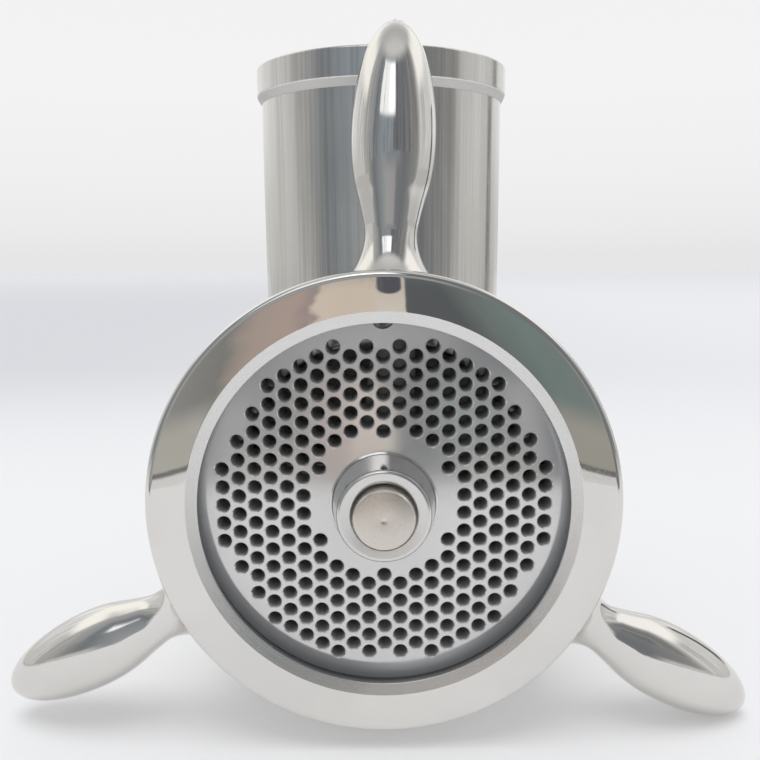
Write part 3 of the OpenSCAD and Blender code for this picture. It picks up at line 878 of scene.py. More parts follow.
def shape_handle(settings, number):
    """A turned handle whose root spreads onto the ring's outside and follows its curve."""
    s = settings.handles
    turn = s.turn + FULL_TURN * number / s.count
    outward = Vector((sin(turn), 0, cos(turn)))
    along = outward * cos(s.lean) + BACK * sin(s.lean)
    origin = Vector((0, PLATE_Y + s.root, AXIS_Z)) + (outward - along) * RING_R
    outline = handle_outline(s)
    root_r = outline[1][0]
    bm = bmesh.new()
    spun(bm, outline, origin, along, outward.cross(BACK).normalized(), False, 96)
    run = Vector((along.x, 0, along.z))
    for vert in bm.verts:
        place = vert.co - origin
        out = place.dot(along)
        share_down = min(1.0, (RING_R + s.waist_out - out) / s.waist_out)
        aside = place - along * out
        if share_down <= 0 or aside.length < MERGE:
            continue
        # Where the root's edge on this side meets the ring's outside, measured along the handle.
        edge = origin + along * RING_R + aside.normalized() * root_r
        flat = Vector((edge.x, 0, edge.z - AXIS_Z))
        a, b = run.dot(run), flat.dot(run)
        drop = (-b + sqrt(b * b - a * (flat.dot(flat) - RING_R**2))) / a
        vert.co += along * (drop * share_down**2)
    return bm


# ---- Plate, hub and stud ----


def plate_rim(s):
    """Outline of the plate as (x, z) points from its centre: a circle with a round-bottomed slot."""
    half = s.slot_d / 2
    gap = asin(half / PLATE_R)
    rim = arc_points((0, 0), PLATE_R, pi / 2 - gap, pi / 2 + gap - FULL_TURN, ROUND_STEPS)
    return rim + arc_points((0, PLATE_R - s.slot_depth + half), half, pi, FULL_TURN, 24)


def hole_centres(s):
    """Centres of the holes: a hexagonal grid with upright columns."""
    nearest, farthest = s.hub_base_d / 2 + s.hub_margin, PLATE_R - s.rim_margin
    column_step = cos(radians(30))
    reach = ceil(farthest / s.hole_pitch / column_step)
    spots = []
    for column in range(-reach, reach + 1):
        for row in range(-reach, reach + 1):
            x = column * column_step * s.hole_pitch
            z = (row + 0.5 * (column % 2)) * s.hole_pitch
            if nearest < hypot(x, z) < farthest:
                spots.append((x, z))
    return spots


def edge_loop(bm, points, at):
    """A closed loop of edges through (x, z) points at a station."""
    verts = [bm.verts.new((x, PLATE_Y + at, AXIS_Z + z)) for x, z in points]
    return [bm.edges.new(pair) for pair in zip(verts, verts[1:] + verts[:1])]


def drawn_loop(bm, edges, centre, factor, at):
    """Extrudes a loop of edges to another station and scales it about a centre."""
    grown = bmesh.ops.extrude_edge_only(bm, edges=edges)["geom"]
    pivot = Vector((centre[0], 0, AXIS_Z + centre[1]))
    for vert in grown:
        if isinstance(vert, BMVert):
            flat = Vector((vert.co.x, 0, vert.co.z)) - pivot
            vert.co = pivot + flat * factor + BACK * (PLATE_Y + at)
    return [item for item in grown if isinstance(item, BMEdge) and item.is_boundary]


def shape_plate(settings):
    """Drilled disc. Every hole has a bevelled mouth on both faces."""
    s = settings.plate
    hole_r, rim_edge = s.hole_d / 2, 0.4 * MM
    wide, narrow = 1 + s.hole_edge / hole_r, 1 - rim_edge / PLATE_R
    bm = bmesh.new()
    front, back = [], []

    def wall(points, centre, stages):
        """A wall through the plate from a loop in its front face, by (scale, station) stages."""
        loop = edge_loop(bm, points, 0)
        front.extend(loop)
        for factor, at in stages:
            loop = drawn_loop(bm, loop, centre, factor, at)
        back.extend(loop)

    rim = [(x * narrow, z * narrow) for x, z in plate_rim(s)]
    wall(rim, (0, 0), [(1 / narrow, rim_edge), (1, PLATE_T - rim_edge), (narrow, PLATE_T)])
    wall(arc_points((0, 0), SLEEVE_R, 0, FULL_TURN, 96)[:-1], (0, 0), [(1, PLATE_T)])
    stages = [(1 / wide, s.hole_edge), (1, PLATE_T - s.hole_edge), (wide, PLATE_T)]
    for spot in hole_centres(s):
        wall(arc_points(spot, hole_r * wide, 0, FULL_TURN, 20)[:-1], spot, stages)
    for loops in (front, back):
        bmesh.ops.triangle_fill(bm, edges=loops, use_beauty=True, use_dissolve=False)
    close_mesh(bm)
    for face in bm.faces:
        inside = SLEEVE_R + 0.5 * MM < from_axis(face) < PLATE_R - s.slot_depth - 0.5 * MM
        face.material_index = int(inside and abs(face.normal.y) < 0.2)
    return bm


def shape_hub(settings):
    """Tapered hub with a bevelled bore, and the sleeve that is pressed into the plate."""
    s = settings.plate
    bore_r, gap_r, base_r = STUD_R + RUN_GAP, STUD_R + s.bore_gap, s.hub_base_d / 2
    mouth = HUB_FRONT + s.hub_dish
    corners = [
        (gap_r + s.bore_edge, mouth),
        (s.hub_front_d / 2, HUB_FRONT, 0.8 * MM),
        (base_r - 0.45 * MM, -0.5 * MM),
        (base_r, -0.2 * MM),
        (base_r, 0),
        (SLEEVE_R, 0),
        (SLEEVE_R, PLATE_T),
        (bore_r, PLATE_T),
        (bore_r, HUB_FRONT + 1.6 * MM),
        (gap_r, HUB_FRONT + 1.2 * MM),
        (gap_r, mouth + s.bore_edge),
    ]
    bm = lathed(corners, 5, 128)
    close_mesh(bm)
    for face in bm.faces:
        face.material_index = int(from_axis(face) < gap_r + 0.05 * MM)
    return bm


def shape_stud(settings):
    """Hardened stud with a bevelled nose, a centre mark and a root in the worm."""
    root_r, edge, shoulder = settings.worm.stud_root_r, 0.6 * MM, KNIFE_FRONT + 1 * MM
    # Radius and depth behind the stud's front.
    nose = [
        (0, 0.12 * MM),
        (0.4 * MM, 0.07 * MM),
        (0.8 * MM, 0.01 * MM),
        (1.0 * MM, 0),
        (STUD_R - edge - 0.3 * MM, 0),
        (STUD_R - edge, 0.04 * MM),
        (STUD_R - 0.12 * MM, edge * 0.8),
        (STUD_R, edge + 0.1 * MM),
        (STUD_R, edge + 0.4 * MM),
    ]
    outline = [(radius, STUD_FRONT + depth) for radius, depth in nose]
    outline += [(STUD_R, shoulder), (root_r, shoulder), (root_r, STUD_BACK), (0, STUD_BACK)]
    return lathed(outline, steps=96, closed=False)


# ---- Body ----


def shape_neck(settings):
    """Turned neck with a rim and a feed pan's seat. Its foot follows the barrel in a ground weld."""
    s = settings.neck
    crown = AXIS_Z + BARREL_R
    wall_end, seat_at = crown + 10 * MM, NECK_TOP - s.seat_depth
    rim_end = NECK_TOP - s.rim_h
    slope_end = rim_end - s.rim_slope
    corners = [
        (s.throat_r, wall_end),
        (s.throat_r, seat_at, 0.3 * MM),
        (s.seat_r, seat_at),
        (s.seat_r, NECK_TOP, 0.9 * MM),
        (NECK_RIM_R, NECK_TOP, 0.6 * MM),
        (NECK_RIM_R, rim_end, 0.45 * MM),
        (s.neck_r, slope_end, 0.5 * MM),
        (s.neck_r, wall_end),
    ]
    weld = arc_points((s.neck_r + s.weld, crown + s.weld), s.weld, pi, 1.5 * pi, 9)
    foot = weld + [(s.neck_r - 2 * MM, crown - 0.5 * MM), (s.throat_r, crown)]
    bm = bmesh.new()
    spun(bm, rounded(corners, 6) + foot, Vector((0, NECK_Y, 0)), UP)
    for vert in bm.verts:
        if vert.co.z < wall_end - MERGE:
            vert.co.z -= BARREL_R - sqrt(BARREL_R**2 - vert.co.x**2)
    close_mesh(bm)
    for face in bm.faces:
        on_slope = slope_end - 0.3 * MM < face.calc_center_median().z < rim_end - 0.3 * MM
        face.material_index = int(on_slope and face.normal.z < -0.15)
    return bm


def neck_hole(settings):
    """The opening from the neck into the chamber, as a cutter."""
    origin = Vector((0, NECK_Y, 0))
    return rod(origin, UP, settings.neck.throat_r, AXIS_Z + 5 * MM, AXIS_Z + 2 * BARREL_R)


def shape_barrel(settings):
    """Tube round the worm with the neck's hole in its top."""
    chamber_r = settings.body.chamber_r
    corners = [
        (chamber_r, COLLAR_END),
        (BARREL_R, COLLAR_END, 0.35 * MM),
        (BARREL_R, BARREL_END, 0.35 * MM),
        (chamber_r, BARREL_END),
    ]
    return bored(lathed(corners, 4), neck_hole(settings))


def shape_collar(settings):
    """Threaded mouth collar. The key's hole and the neck's hole are cut into it."""
    s, ring = settings.body, settings.ring
    mouth_r, core_r = PLATE_R + s.mouth_gap, THREAD_R - ring.thread_depth
    shoulder = RING_BACK + 1.5 * MM
    corners = [
        (mouth_r, COLLAR_FRONT, 0.3 * MM),
        (core_r, COLLAR_FRONT, 0.5 * MM),
        (core_r, shoulder - 2 * MM, 0.4 * MM),
        (THREAD_R, shoulder - 1 * MM, 0.3 * MM),
        (THREAD_R, shoulder, 0.8 * MM),
        (BARREL_R, shoulder + THREAD_R - BARREL_R, 1.2 * MM),
        (BARREL_R, COLLAR_END, 0.35 * MM),
        (s.chamber_r, COLLAR_END),
        (s.chamber_r, s.mouth_depth, 0.3 * MM),
        (mouth_r, s.mouth_depth),
    ]
    key_r = settings.plate.slot_d / 2 - ring.thread_gap
    key_at = Vector((0, PLATE_Y + PLATE_T / 2 + 0.5 * MM, AXIS_Z))
    key_hole = rod(key_at, UP, key_r, mouth_r - 2 * MM, THREAD_R + 1 * MM, 48)
    bm = bored(lathed(corners, 5), neck_hole(settings), key_hole)
    start, end = COLLAR_FRONT + 0.6 * MM, shoulder - 2.4 * MM
    mouth_thread(bm, core_r - 0.3 * MM, THREAD_R, start, end, ring.thread_pitch)
    return bm


def shape_key(settings):
    """Dowel pressed through the mouth's wall."""
    lo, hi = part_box("plate_key")
    radius = radius_of("plate_key")
    corners = [(0, lo.z), (radius, lo.z, 0.5 * MM), (radius, hi.z, 0.3 * MM), (0, hi.z)]
    origin = Vector((0, middle("plate_key", 1), 0))
    bm = bmesh.new()
    spun(bm, rounded(corners, 4), origin, UP, closed=False, steps=48)
    return bm


def shape_rear_hub(settings):
    """Rear wall and bearing hub, blended by a fillet, with the seal's pocket and the bush's bore."""
    s = settings.body
    hub_r, wall_end = s.rear_hub_r, BARREL_END + s.rear_wall
    fillet, edge = 4 * MM, 1.0 * MM
    wall = [(BUSH_R, BARREL_END), (WALL_END_R, BARREL_END), (WALL_END_R, wall_end, 2 * MM)]
    return lathed(
        rounded(wall, 6)
        + arc_points((hub_r + fillet, wall_end + fillet), fillet, -pi / 2, -pi, 8)
        + [(hub_r, HUB_END - edge - HOLD)]
        + arc_points((hub_r - edge, HUB_END - edge), edge, 0, pi / 2, 6)
        + [(hub_r - edge - HOLD, HUB_END), (SEAL_R, HUB_END), (SEAL_R, SEAL_FRONT), (BUSH_R, SEAL_FRONT)]
    )


def shape_foot(settings):
    """Bolt-down plate with a saddle, both bevelled, cut to the barrel and drilled."""
    s = settings.body
    lo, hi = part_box("saddle_foot")
    bm = bmesh.new()
    raised(bm, box_outline(hi.x, hi.y, s.foot_corner, 10), lo.z, s.foot_t, 1.2 * MM)
    raised(bm, box_outline(s.saddle_w / 2, s.saddle_l / 2, 5 * MM, 6), s.foot_t - MM, hi.z, 2.0 * MM)
    barrel = rod(Vector((0, PLATE_Y, AXIS_Z)), BACK, BARREL_R - 0.1 * MM, COLLAR_FRONT, HUB_END)
    holes = [
        rod(Vector((sx * s.bolt_x / 2, sy * s.bolt_y / 2, 0)), UP, s.bolt_d / 2, -MM, s.foot_t + MM, 48)
        for sx in (-1, 1)
        for sy in (-1, 1)
    ]
    return bored(bm, barrel, *holes, shells=2)


# ---- Bearing ----


def shape_bush(settings):
    bore_r, edge = settings.worm.tail_r + RUN_GAP, 0.3 * MM
    return plain_ring(bore_r, BUSH_R - SKIN, BARREL_END, SEAL_FRONT, edge, edge)


def shape_seal(settings):
    """Rubber seal with a groove in its outer face."""
    bore_r, outer_r = settings.worm.tail_r + RUN_GAP, SEAL_R - SKIN
    groove_r = (bore_r + SEAL_R) / 2
    face, floor = HUB_END - 0.2 * MM, HUB_END - 1.2 * MM
    corners = [
        (bore_r, SEAL_FRONT),
        (outer_r, SEAL_FRONT),
        (outer_r, face, 0.3 * MM),
        (groove_r + 1.0 * MM, face, 0.3 * MM),
        (groove_r + 0.7 * MM, floor, 0.2 * MM),
        (groove_r - 0.7 * MM, floor, 0.2 * MM),
        (groove_r - 1.0 * MM, face, 0.3 * MM),
        (bore_r, face, 0.3 * MM),
    ]
    return lathed(corners, 3, 96)


def shape_thrust(settings):
    bore_r, outer_r = settings.worm.tail_r + 0.3 * MM, radius_of("thrust_washer")
    return plain_ring(bore_r, outer_r, THRUST_FRONT, BARREL_END, 0.3 * MM, 0.4 * MM)


# ---- Worm and knife ----


def square(width, corner):
    """A square round the worm axis with rounded corners, as (x, z) points."""
    return box_outline(width / 2, width / 2, corner, 4, AXIS_Z)


def shape_worm(settings):
    """Tapered core with one left-hand flight, a square in front and a tail behind."""
    s = settings.worm
    front, rear = KNIFE_BACK, THRUST_FRONT
    flight_end = rear - 1 * MM
    # The flight starts in front of the core and is cut off flush with it.
    lead = 1.2 * s.flight_t
    start = front - lead
    root_r, rim_r, tip = s.core_front_r - 3 * MM, radius_of("worm") - 0.02 * MM, 1.6 * MM
    back = start + s.flight_t
    profile = rounded([(root_r, start), (rim_r, start, tip), (rim_r, back, tip), (root_r, back)], 4)
    bm = bmesh.new()
    coil(bm, profile, (flight_end - start) / s.pitch, s.pitch, -BACK, 120)
    turn_in = Matrix.Rotation(FULL_TURN * lead / s.pitch, 3, BACK)
    bmesh.ops.rotate(bm, cent=Vector((0, 0, AXIS_Z)), matrix=turn_in, verts=bm.verts)
    for at, way in ((front, -1), (flight_end, 1)):
        everything = bm.verts[:] + bm.edges[:] + bm.faces[:]
        cut = bmesh.ops.bisect_plane(
            bm, geom=everything, plane_co=BACK * (PLATE_Y + at), plane_no=BACK * way, clear_outer=True
        )
        rim = [item for item in cut["geom_cut"] if isinstance(item, BMEdge)]
        bmesh.ops.contextual_create(bm, geom=rim)
    core = [
        (0, front),
        (s.core_front_r, front, 0.6 * MM),
        (s.core_rear_r, rear, 0.6 * MM),
        (s.tail_r, rear),
        (s.tail_r, CRANK_FRONT, 0.6 * MM),
        (0, CRANK_FRONT),
    ]
    lathed(core, 4, 128, False, bm)
    slab(bm, square(s.square, 1.2 * MM), KNIFE_FRONT + 1.2 * MM, front + 1 * MM)
    slab(bm, square(s.tail_square, 1.2 * MM), CRANK_FRONT - 1 * MM, CRANK_BACK - 1 * MM)
    return bm


def shape_knife(settings):
    """Four-bladed knife: blades with a relieved back round a turned hub."""
    hub_r, bore_r, blade_in, reach = 17 * MM, 9.5 * MM, 5 * MM, radius_of("knife")
    root_w, tip_w, hub_front = 17 * MM, 11 * MM, KNIFE_FRONT + 0.02 * MM
    outline = [
        (blade_in, AXIS_Z - root_w / 2),
        (reach, AXIS_Z - root_w / 2),
        (reach, AXIS_Z + tip_w - root_w / 2),
        (blade_in, AXIS_Z + root_w / 2 - 1 * MM),
    ]
    bm = bmesh.new()
    for quarter in range(4):
        blade = bmesh.new()
        slab(blade, outline, KNIFE_FRONT, KNIFE_BACK - 3 * MM, 0.7 * MM)
        turn = Matrix.Rotation(quarter * pi / 2, 3, BACK)
        bmesh.ops.rotate(blade, cent=Vector((0, 0, AXIS_Z)), matrix=turn, verts=blade.verts)
        joined(bm, blade)
    hub = [
        (bore_r, hub_front),
        (hub_r, hub_front, 0.4 * MM),
        (hub_r, KNIFE_BACK, 1.0 * MM),
        (bore_r, KNIFE_BACK),
    ]
    return lathed(hub, 4, 96, bm=bm)


# ---- Crank ----


def arm_outline(s):
    """Outline of the arm between its hub and its eye, with tangent sides, as (x, z) points."""
    lean = atan2((s.arm_hub_w - s.arm_eye_w) / 2, GRIP_Z - AXIS_Z)
    hub_r, opening = s.hub_r - 2 * MM, 0.62
    waist_x, waist_z = s.arm_hub_w / 2 - 1.5 * MM, AXIS_Z + hub_r * 0.9
    eye = arc_points((0, GRIP_Z), s.eye_r, lean, pi - lean, 24)
    hub = arc_points((0, AXIS_Z), hub_r, pi + opening, FULL_TURN - opening, 24)
    return eye + [(-waist_x, waist_z)] + hub + [(waist_x, waist_z)]


def shape_crank(settings):
    """Forged crank: a rounded tapered arm, a turned hub with a square hole, and an eye."""
    s = settings.crank
    arm_front = (CRANK_FRONT + CRANK_BACK - s.arm_t) / 2
    bore_r, edge = 6 * MM, 1.2 * MM
    bm = bmesh.new()
    slab(bm, arm_outline(s), arm_front, arm_front + s.arm_t, 2.2 * MM, 5)
    hub = [
        (bore_r, CRANK_FRONT),
        (s.hub_r, CRANK_FRONT, edge),
        (s.hub_r, CRANK_BACK, edge),
        (bore_r, CRANK_BACK),
    ]
    lathed(hub, 6, 128, bm=bm)
    hole = bmesh.new()
    slab(hole, square(settings.worm.tail_square + 0.4 * MM, 0.8 * MM), CRANK_FRONT - MM, CRANK_BACK + MM)
    return bored(bm, hole, shells=2)


def shape_washer(settings):
    bore_r, outer_r = settings.crank.screw_r + 0.6 * MM, radius_of("crank_washer")
    return plain_ring(bore_r, outer_r, CRANK_BACK, WASHER_BACK, 0.25 * MM, 0.35 * MM, arc=4)


def wing_outline(s):
    """Outline of one wing as (distance from the axis, height above the washer) points."""
    lobe_r, bottom, top = 5.2 * MM, 1 * MM, 8.6 * MM
    lobe = (radius_of("crank_screw") - lobe_r, SCREW_BACK - WASHER_BACK - lobe_r)
    return (
        [(0, bottom), (s.head_r * 0.8, bottom)]
        + arc_points(lobe, lobe_r, -0.9, pi * 0.78, 18)
        + [(s.head_r - 2 * MM, top), (0, top)]
    )


def shape_screw(settings):
    """Wing screw: domed head, two rounded wings and a threaded shank."""
    s = settings.crank
    head_back, core_r = WASHER_BACK + 9 * MM, s.screw_r - 0.8 * MM
    bm = bmesh.new()
    for way in (1, -1):
        wing = bmesh.new()
        side = AXIS_Z - s.wing_t / 2
        corners = [(way * r, PLATE_Y + WASHER_BACK + h, side) for r, h in wing_outline(s)]
        block(wing, corners, UP * s.wing_t, 1.5 * MM, 5, 60)
        joined(bm, wing)
    corners = [
        (0, SHANK_END),
        (core_r, SHANK_END, 0.6 * MM),
        (core_r, WASHER_BACK),
        (s.head_r, WASHER_BACK, 0.4 * MM),
        (s.head_r, head_back, 3.0 * MM),
        (0, head_back),
    ]
    lathed(corners, 6, SMALL_STEPS, False, bm)
    pitch, root_r, start = 1.5 * MM, core_r - 0.2 * MM, SHANK_END + 0.8 * MM
    thread = [
        (root_r, start),
        (s.screw_r, start + 0.5 * MM),
        (s.screw_r, start + 0.7 * MM),
        (root_r, start + 1.2 * MM),
    ]
    coil(bm, thread, (WASHER_BACK - start - 2.2 * MM) / pitch, pitch, steps_per_turn=48)
    return bm


def shape_spindle(settings):
    s = settings.crank
    arm_back = (CRANK_FRONT + CRANK_BACK + s.arm_t) / 2
    neck_r, tip_r, tip = s.spindle_r - 1 * MM, 3 * MM, NUT_BACK - 2 * MM
    corners = [
        (0, SPINDLE_FRONT),
        (neck_r, SPINDLE_FRONT, 0.5 * MM),
        (neck_r, arm_back),
        (s.spindle_r, arm_back, 0.3 * MM),
        (s.spindle_r, NUT_FRONT, 0.3 * MM),
        (tip_r, NUT_FRONT),
        (tip_r, tip, 0.5 * MM),
        (0, tip),
    ]
    return lathed(corners, 4, SMALL_STEPS, False, axis_z=GRIP_Z)


def shape_grip_washer(settings):
    bore_r, outer_r = settings.crank.spindle_r + RUN_GAP, radius_of("grip_washer")
    where = {"steps": SMALL_STEPS, "axis_z": GRIP_Z}
    return plain_ring(bore_r, outer_r, *ends("grip_washer"), 0.2 * MM, 0.3 * MM, **where)


def shape_grip(settings):
    """Turned wooden grip, thickest a little behind its middle."""
    s = settings.crank
    front, back = GRIP_FRONT + s.ferrule_t, GRIP_BACK - s.ferrule_t
    bore_r, seat_r = s.spindle_r + 0.3 * MM, s.grip_end_r - 0.45 * MM
    seat_l, span, swell = s.ferrule_l - s.ferrule_t, back - front, s.grip_r - s.grip_end_r
    places = steps_between(seat_l / span, 1 - seat_l / span, 40)
    outline = (
        [(bore_r, front), (seat_r, front), (seat_r, front + seat_l)]
        + [(s.grip_end_r + swell * sin(pi * t**1.15), front + span * t) for t in places]
        + [(seat_r, back - seat_l), (seat_r, back), (bore_r, back)]
    )
    return lathed(outline, steps=96, axis_z=GRIP_Z)


def shape_ferrules(settings):
    """Two thin caps over the grip's ends, each with a turned bead."""
    s = settings.crank
    outer, inner, bore_r = s.grip_end_r + s.ferrule_t, s.grip_end_r - 0.4 * MM, s.spindle_r + RUN_GAP
    bead = outer - 0.5 * MM
    corners = [
        (bore_r, 0),
        (outer, 0, 0.6 * MM),
        (outer, s.ferrule_l - 2.2 * MM, 0.2 * MM),
        (bead, s.ferrule_l - 1.7 * MM, 0.2 * MM),
        (bead, s.ferrule_l, 0.25 * MM),
        (inner, s.ferrule_l),
        (inner, s.ferrule_t),
        (bore_r, s.ferrule_t),
    ]
    bm = bmesh.new()
    for at, way in ((GRIP_FRONT, 1), (GRIP_BACK, -1)):
        outline = [(radius, at + way * depth) for radius, depth in rounded(corners, 4)]
        lathed(outline, steps=96, bm=bm, axis_z=GRIP_Z)
    return bm


def shape_nut(settings):
    """Domed hexagon nut."""
    nut_r = radius_of("grip_nut")
    hex_end, dome_r = NUT_BACK - 4 * MM, nut_r - 2 * MM
    root, start = hex_end - 0.5 * MM, NUT_FRONT + 1 * MM
    bm = bmesh.new()
    slab(bm, arc_points((0, GRIP_Z), nut_r, 0, FULL_TURN, 6)[:-1], NUT_FRONT, hex_end, 0.5 * MM)
    quarter = steps_between(0, pi / 2, 10)[:-1]
    dome = [(dome_r * cos(a), root + (NUT_BACK - root) * sin(a)) for a in quarter]
    return lathed(
        [(0, start), (dome_r, start)] + dome + [(0, NUT_BACK)], steps=SMALL_STEPS, closed=False,
        bm=bm, axis_z=GRIP_Z,
    )


# ---- Operators ----


def make(context, *rows):
    """Makes pieces. A row is a shape, a name, finishes, a body, a slot and the node stood for."""
    settings = context.scene.meat_grinder
    done = finishes(settings.finish)
    for shape, name, names, body, slot, node in rows:
        piece(shape(settings), name, [done[finish] for finish in names.split()], body, node)
    return {"FINISHED"}


class GRINDER_OT_ring(bpy.types.Operator):
    """Makes the clamp ring"""

    bl_idname = "grinder.ring"
    bl_label = "Clamp Ring"

    def execute(self, context):
        # The second finish is the lip's back wall with painted shade.
        worn = "mirror_ring turned_wall turned_lip"
        return make(context, (shape_ring, "ring_polished", worn, "ring", "polished_steel", "clamp_ring"))


class GRINDER_OT_handles(bpy.types.Operator):
    """Makes the ring's three handles"""

    bl_idname = "grinder.handles"
    bl_label = "Ring Handles"

    def execute(self, context):
        for number, side in enumerate(("top", "right", "left")):
            shape, node = partial(shape_handle, number=number), "ring_handle_" + side
            make(context, (shape, "handle_" + side, "buffed_handle", "ring", "polished_steel", node))
        return {"FINISHED"}


class GRINDER_OT_plate(bpy.types.Operator):
    """Makes the drilled plate, its hub and the stud that runs in it"""

    bl_idname = "grinder.plate"
    bl_label = "Plate, Hub and Stud"

    def execute(self, context):
        bores = " drilled_bores"
        return make(
            context,
            (shape_plate, "plate_drilled", "lapped_plate" + bores, "plate", "satin_steel", "hole_plate"),
            (shape_hub, "plate_boss", "turned_hub" + bores, "plate", "satin_steel", "plate_hub"),
            (shape_stud, "stud_hardened", "turned_stud", "worm_and_crank", "stud_steel", "worm_stud"),
        )


class GRINDER_OT_body(bpy.types.Operator):
    """Makes the neck, the collar, the barrel, the rear hub, the foot and the key"""

    bl_idname = "grinder.body"
    bl_label = "Body"

    def execute(self, context):
        return make(
            context,
            (shape_neck, "neck_turned", "drawn_neck turned_slope", "body", "polished_steel", "feed_neck"),
            (shape_collar, "collar_threaded", "turned_body", "body", "polished_steel", "mouth_collar"),
            (shape_barrel, "barrel_tube", "turned_body", "body", "polished_steel", "barrel"),
            (shape_rear_hub, "rear_hub_turned", "turned_body", "body", "polished_steel", "rear_hub"),
            (shape_foot, "foot_ground", "ground_foot", "body", "polished_steel", "saddle_foot"),
            (shape_key, "key_dowel", "turned_hub", "body", "satin_steel", "plate_key"),
        )


class GRINDER_OT_bearing(bpy.types.Operator):
    """Makes the rear bush, the shaft seal and the thrust washer"""

    bl_idname = "grinder.bearing"
    bl_label = "Rear Bearing"

    def execute(self, context):
        return make(
            context,
            (shape_bush, "bush_turned", "bush_bronze", "body", "bush_bronze", "rear_bush"),
            (shape_seal, "seal_moulded", "seal_rubber", "body", "seal_rubber", "shaft_seal"),
            (shape_thrust, "thrust_ring", "thrust_nylon", "body", "thrust_nylon", "thrust_washer"),
        )


class GRINDER_OT_worm(bpy.types.Operator):
    """Makes the worm and the knife"""

    bl_idname = "grinder.worm"
    bl_label = "Worm and Knife"

    def execute(self, context):
        return make(
            context,
            (shape_worm, "worm_flighted", "ground_worm", "worm_and_crank", "satin_steel", "worm"),
            (shape_knife, "knife_bladed", "ground_worm", "worm_and_crank", "satin_steel", "knife"),
        )


class GRINDER_OT_crank(bpy.types.Operator):
    """Makes the crank with its washer, wing screw and turning grip"""

    bl_idname = "grinder.crank"
    bl_label = "Crank"

    def execute(self, context):
        steel_worn, body = "turned_grip_steel", "worm_and_crank"
        return make(
            context,
            (shape_crank, "crank_forged", "forged_crank", body, "polished_steel", "crank_arm"),
            (shape_washer, "washer_plain", "turned_hub", "washer", "satin_steel", "crank_washer"),
            (shape_screw, "screw_winged", "forged_crank", "wing_screw", "polished_steel", "crank_screw"),
            (shape_spindle, "spindle_turned", steel_worn, body, "satin_steel", "grip_spindle"),
            (shape_grip_washer, "washer_grip", steel_worn, body, "satin_steel", "grip_washer"),
            (shape_grip, "grip_turned", "grip_beech", "grip", "grip_wood", "crank_grip"),
            (shape_ferrules, "ferrules_turned", steel_worn, "grip", "polished_steel", "grip_ferrules"),
            (shape_nut, "nut_domed", steel_worn, body, "polished_steel", "grip_nut"),
        )


# ---- Stage ----

MIRRORED_ONLY = ("camera", "diffuse", "shadow", "transmission", "volume_scatter")


def stage_piece(bm, name, build, hidden=()):
    """A piece of the stage with the material that build(graph) gives, hidden from some rays."""
    mesh = bpy.data.meshes.new(name)
    bm.to_mesh(mesh)
    bm.free()
    mesh.materials.append(material(name, build))
    made = in_scene(name, mesh)
    for ray in hidden:
        setattr(made, "visible_" + ray, False)


def stage_card(name, corners, colour):
    """A flat card that only polished faces mirror, glowing in the colour that colour(graph) gives."""
    bm = bmesh.new()
    bm.faces.new([bm.verts.new(corner) for corner in corners])

    def build(graph):
        return graph.node("ShaderNodeEmission", None, {"Color": colour(graph), "Strength": 1.0})

    stage_piece(bm, name, build, MIRRORED_ONLY)


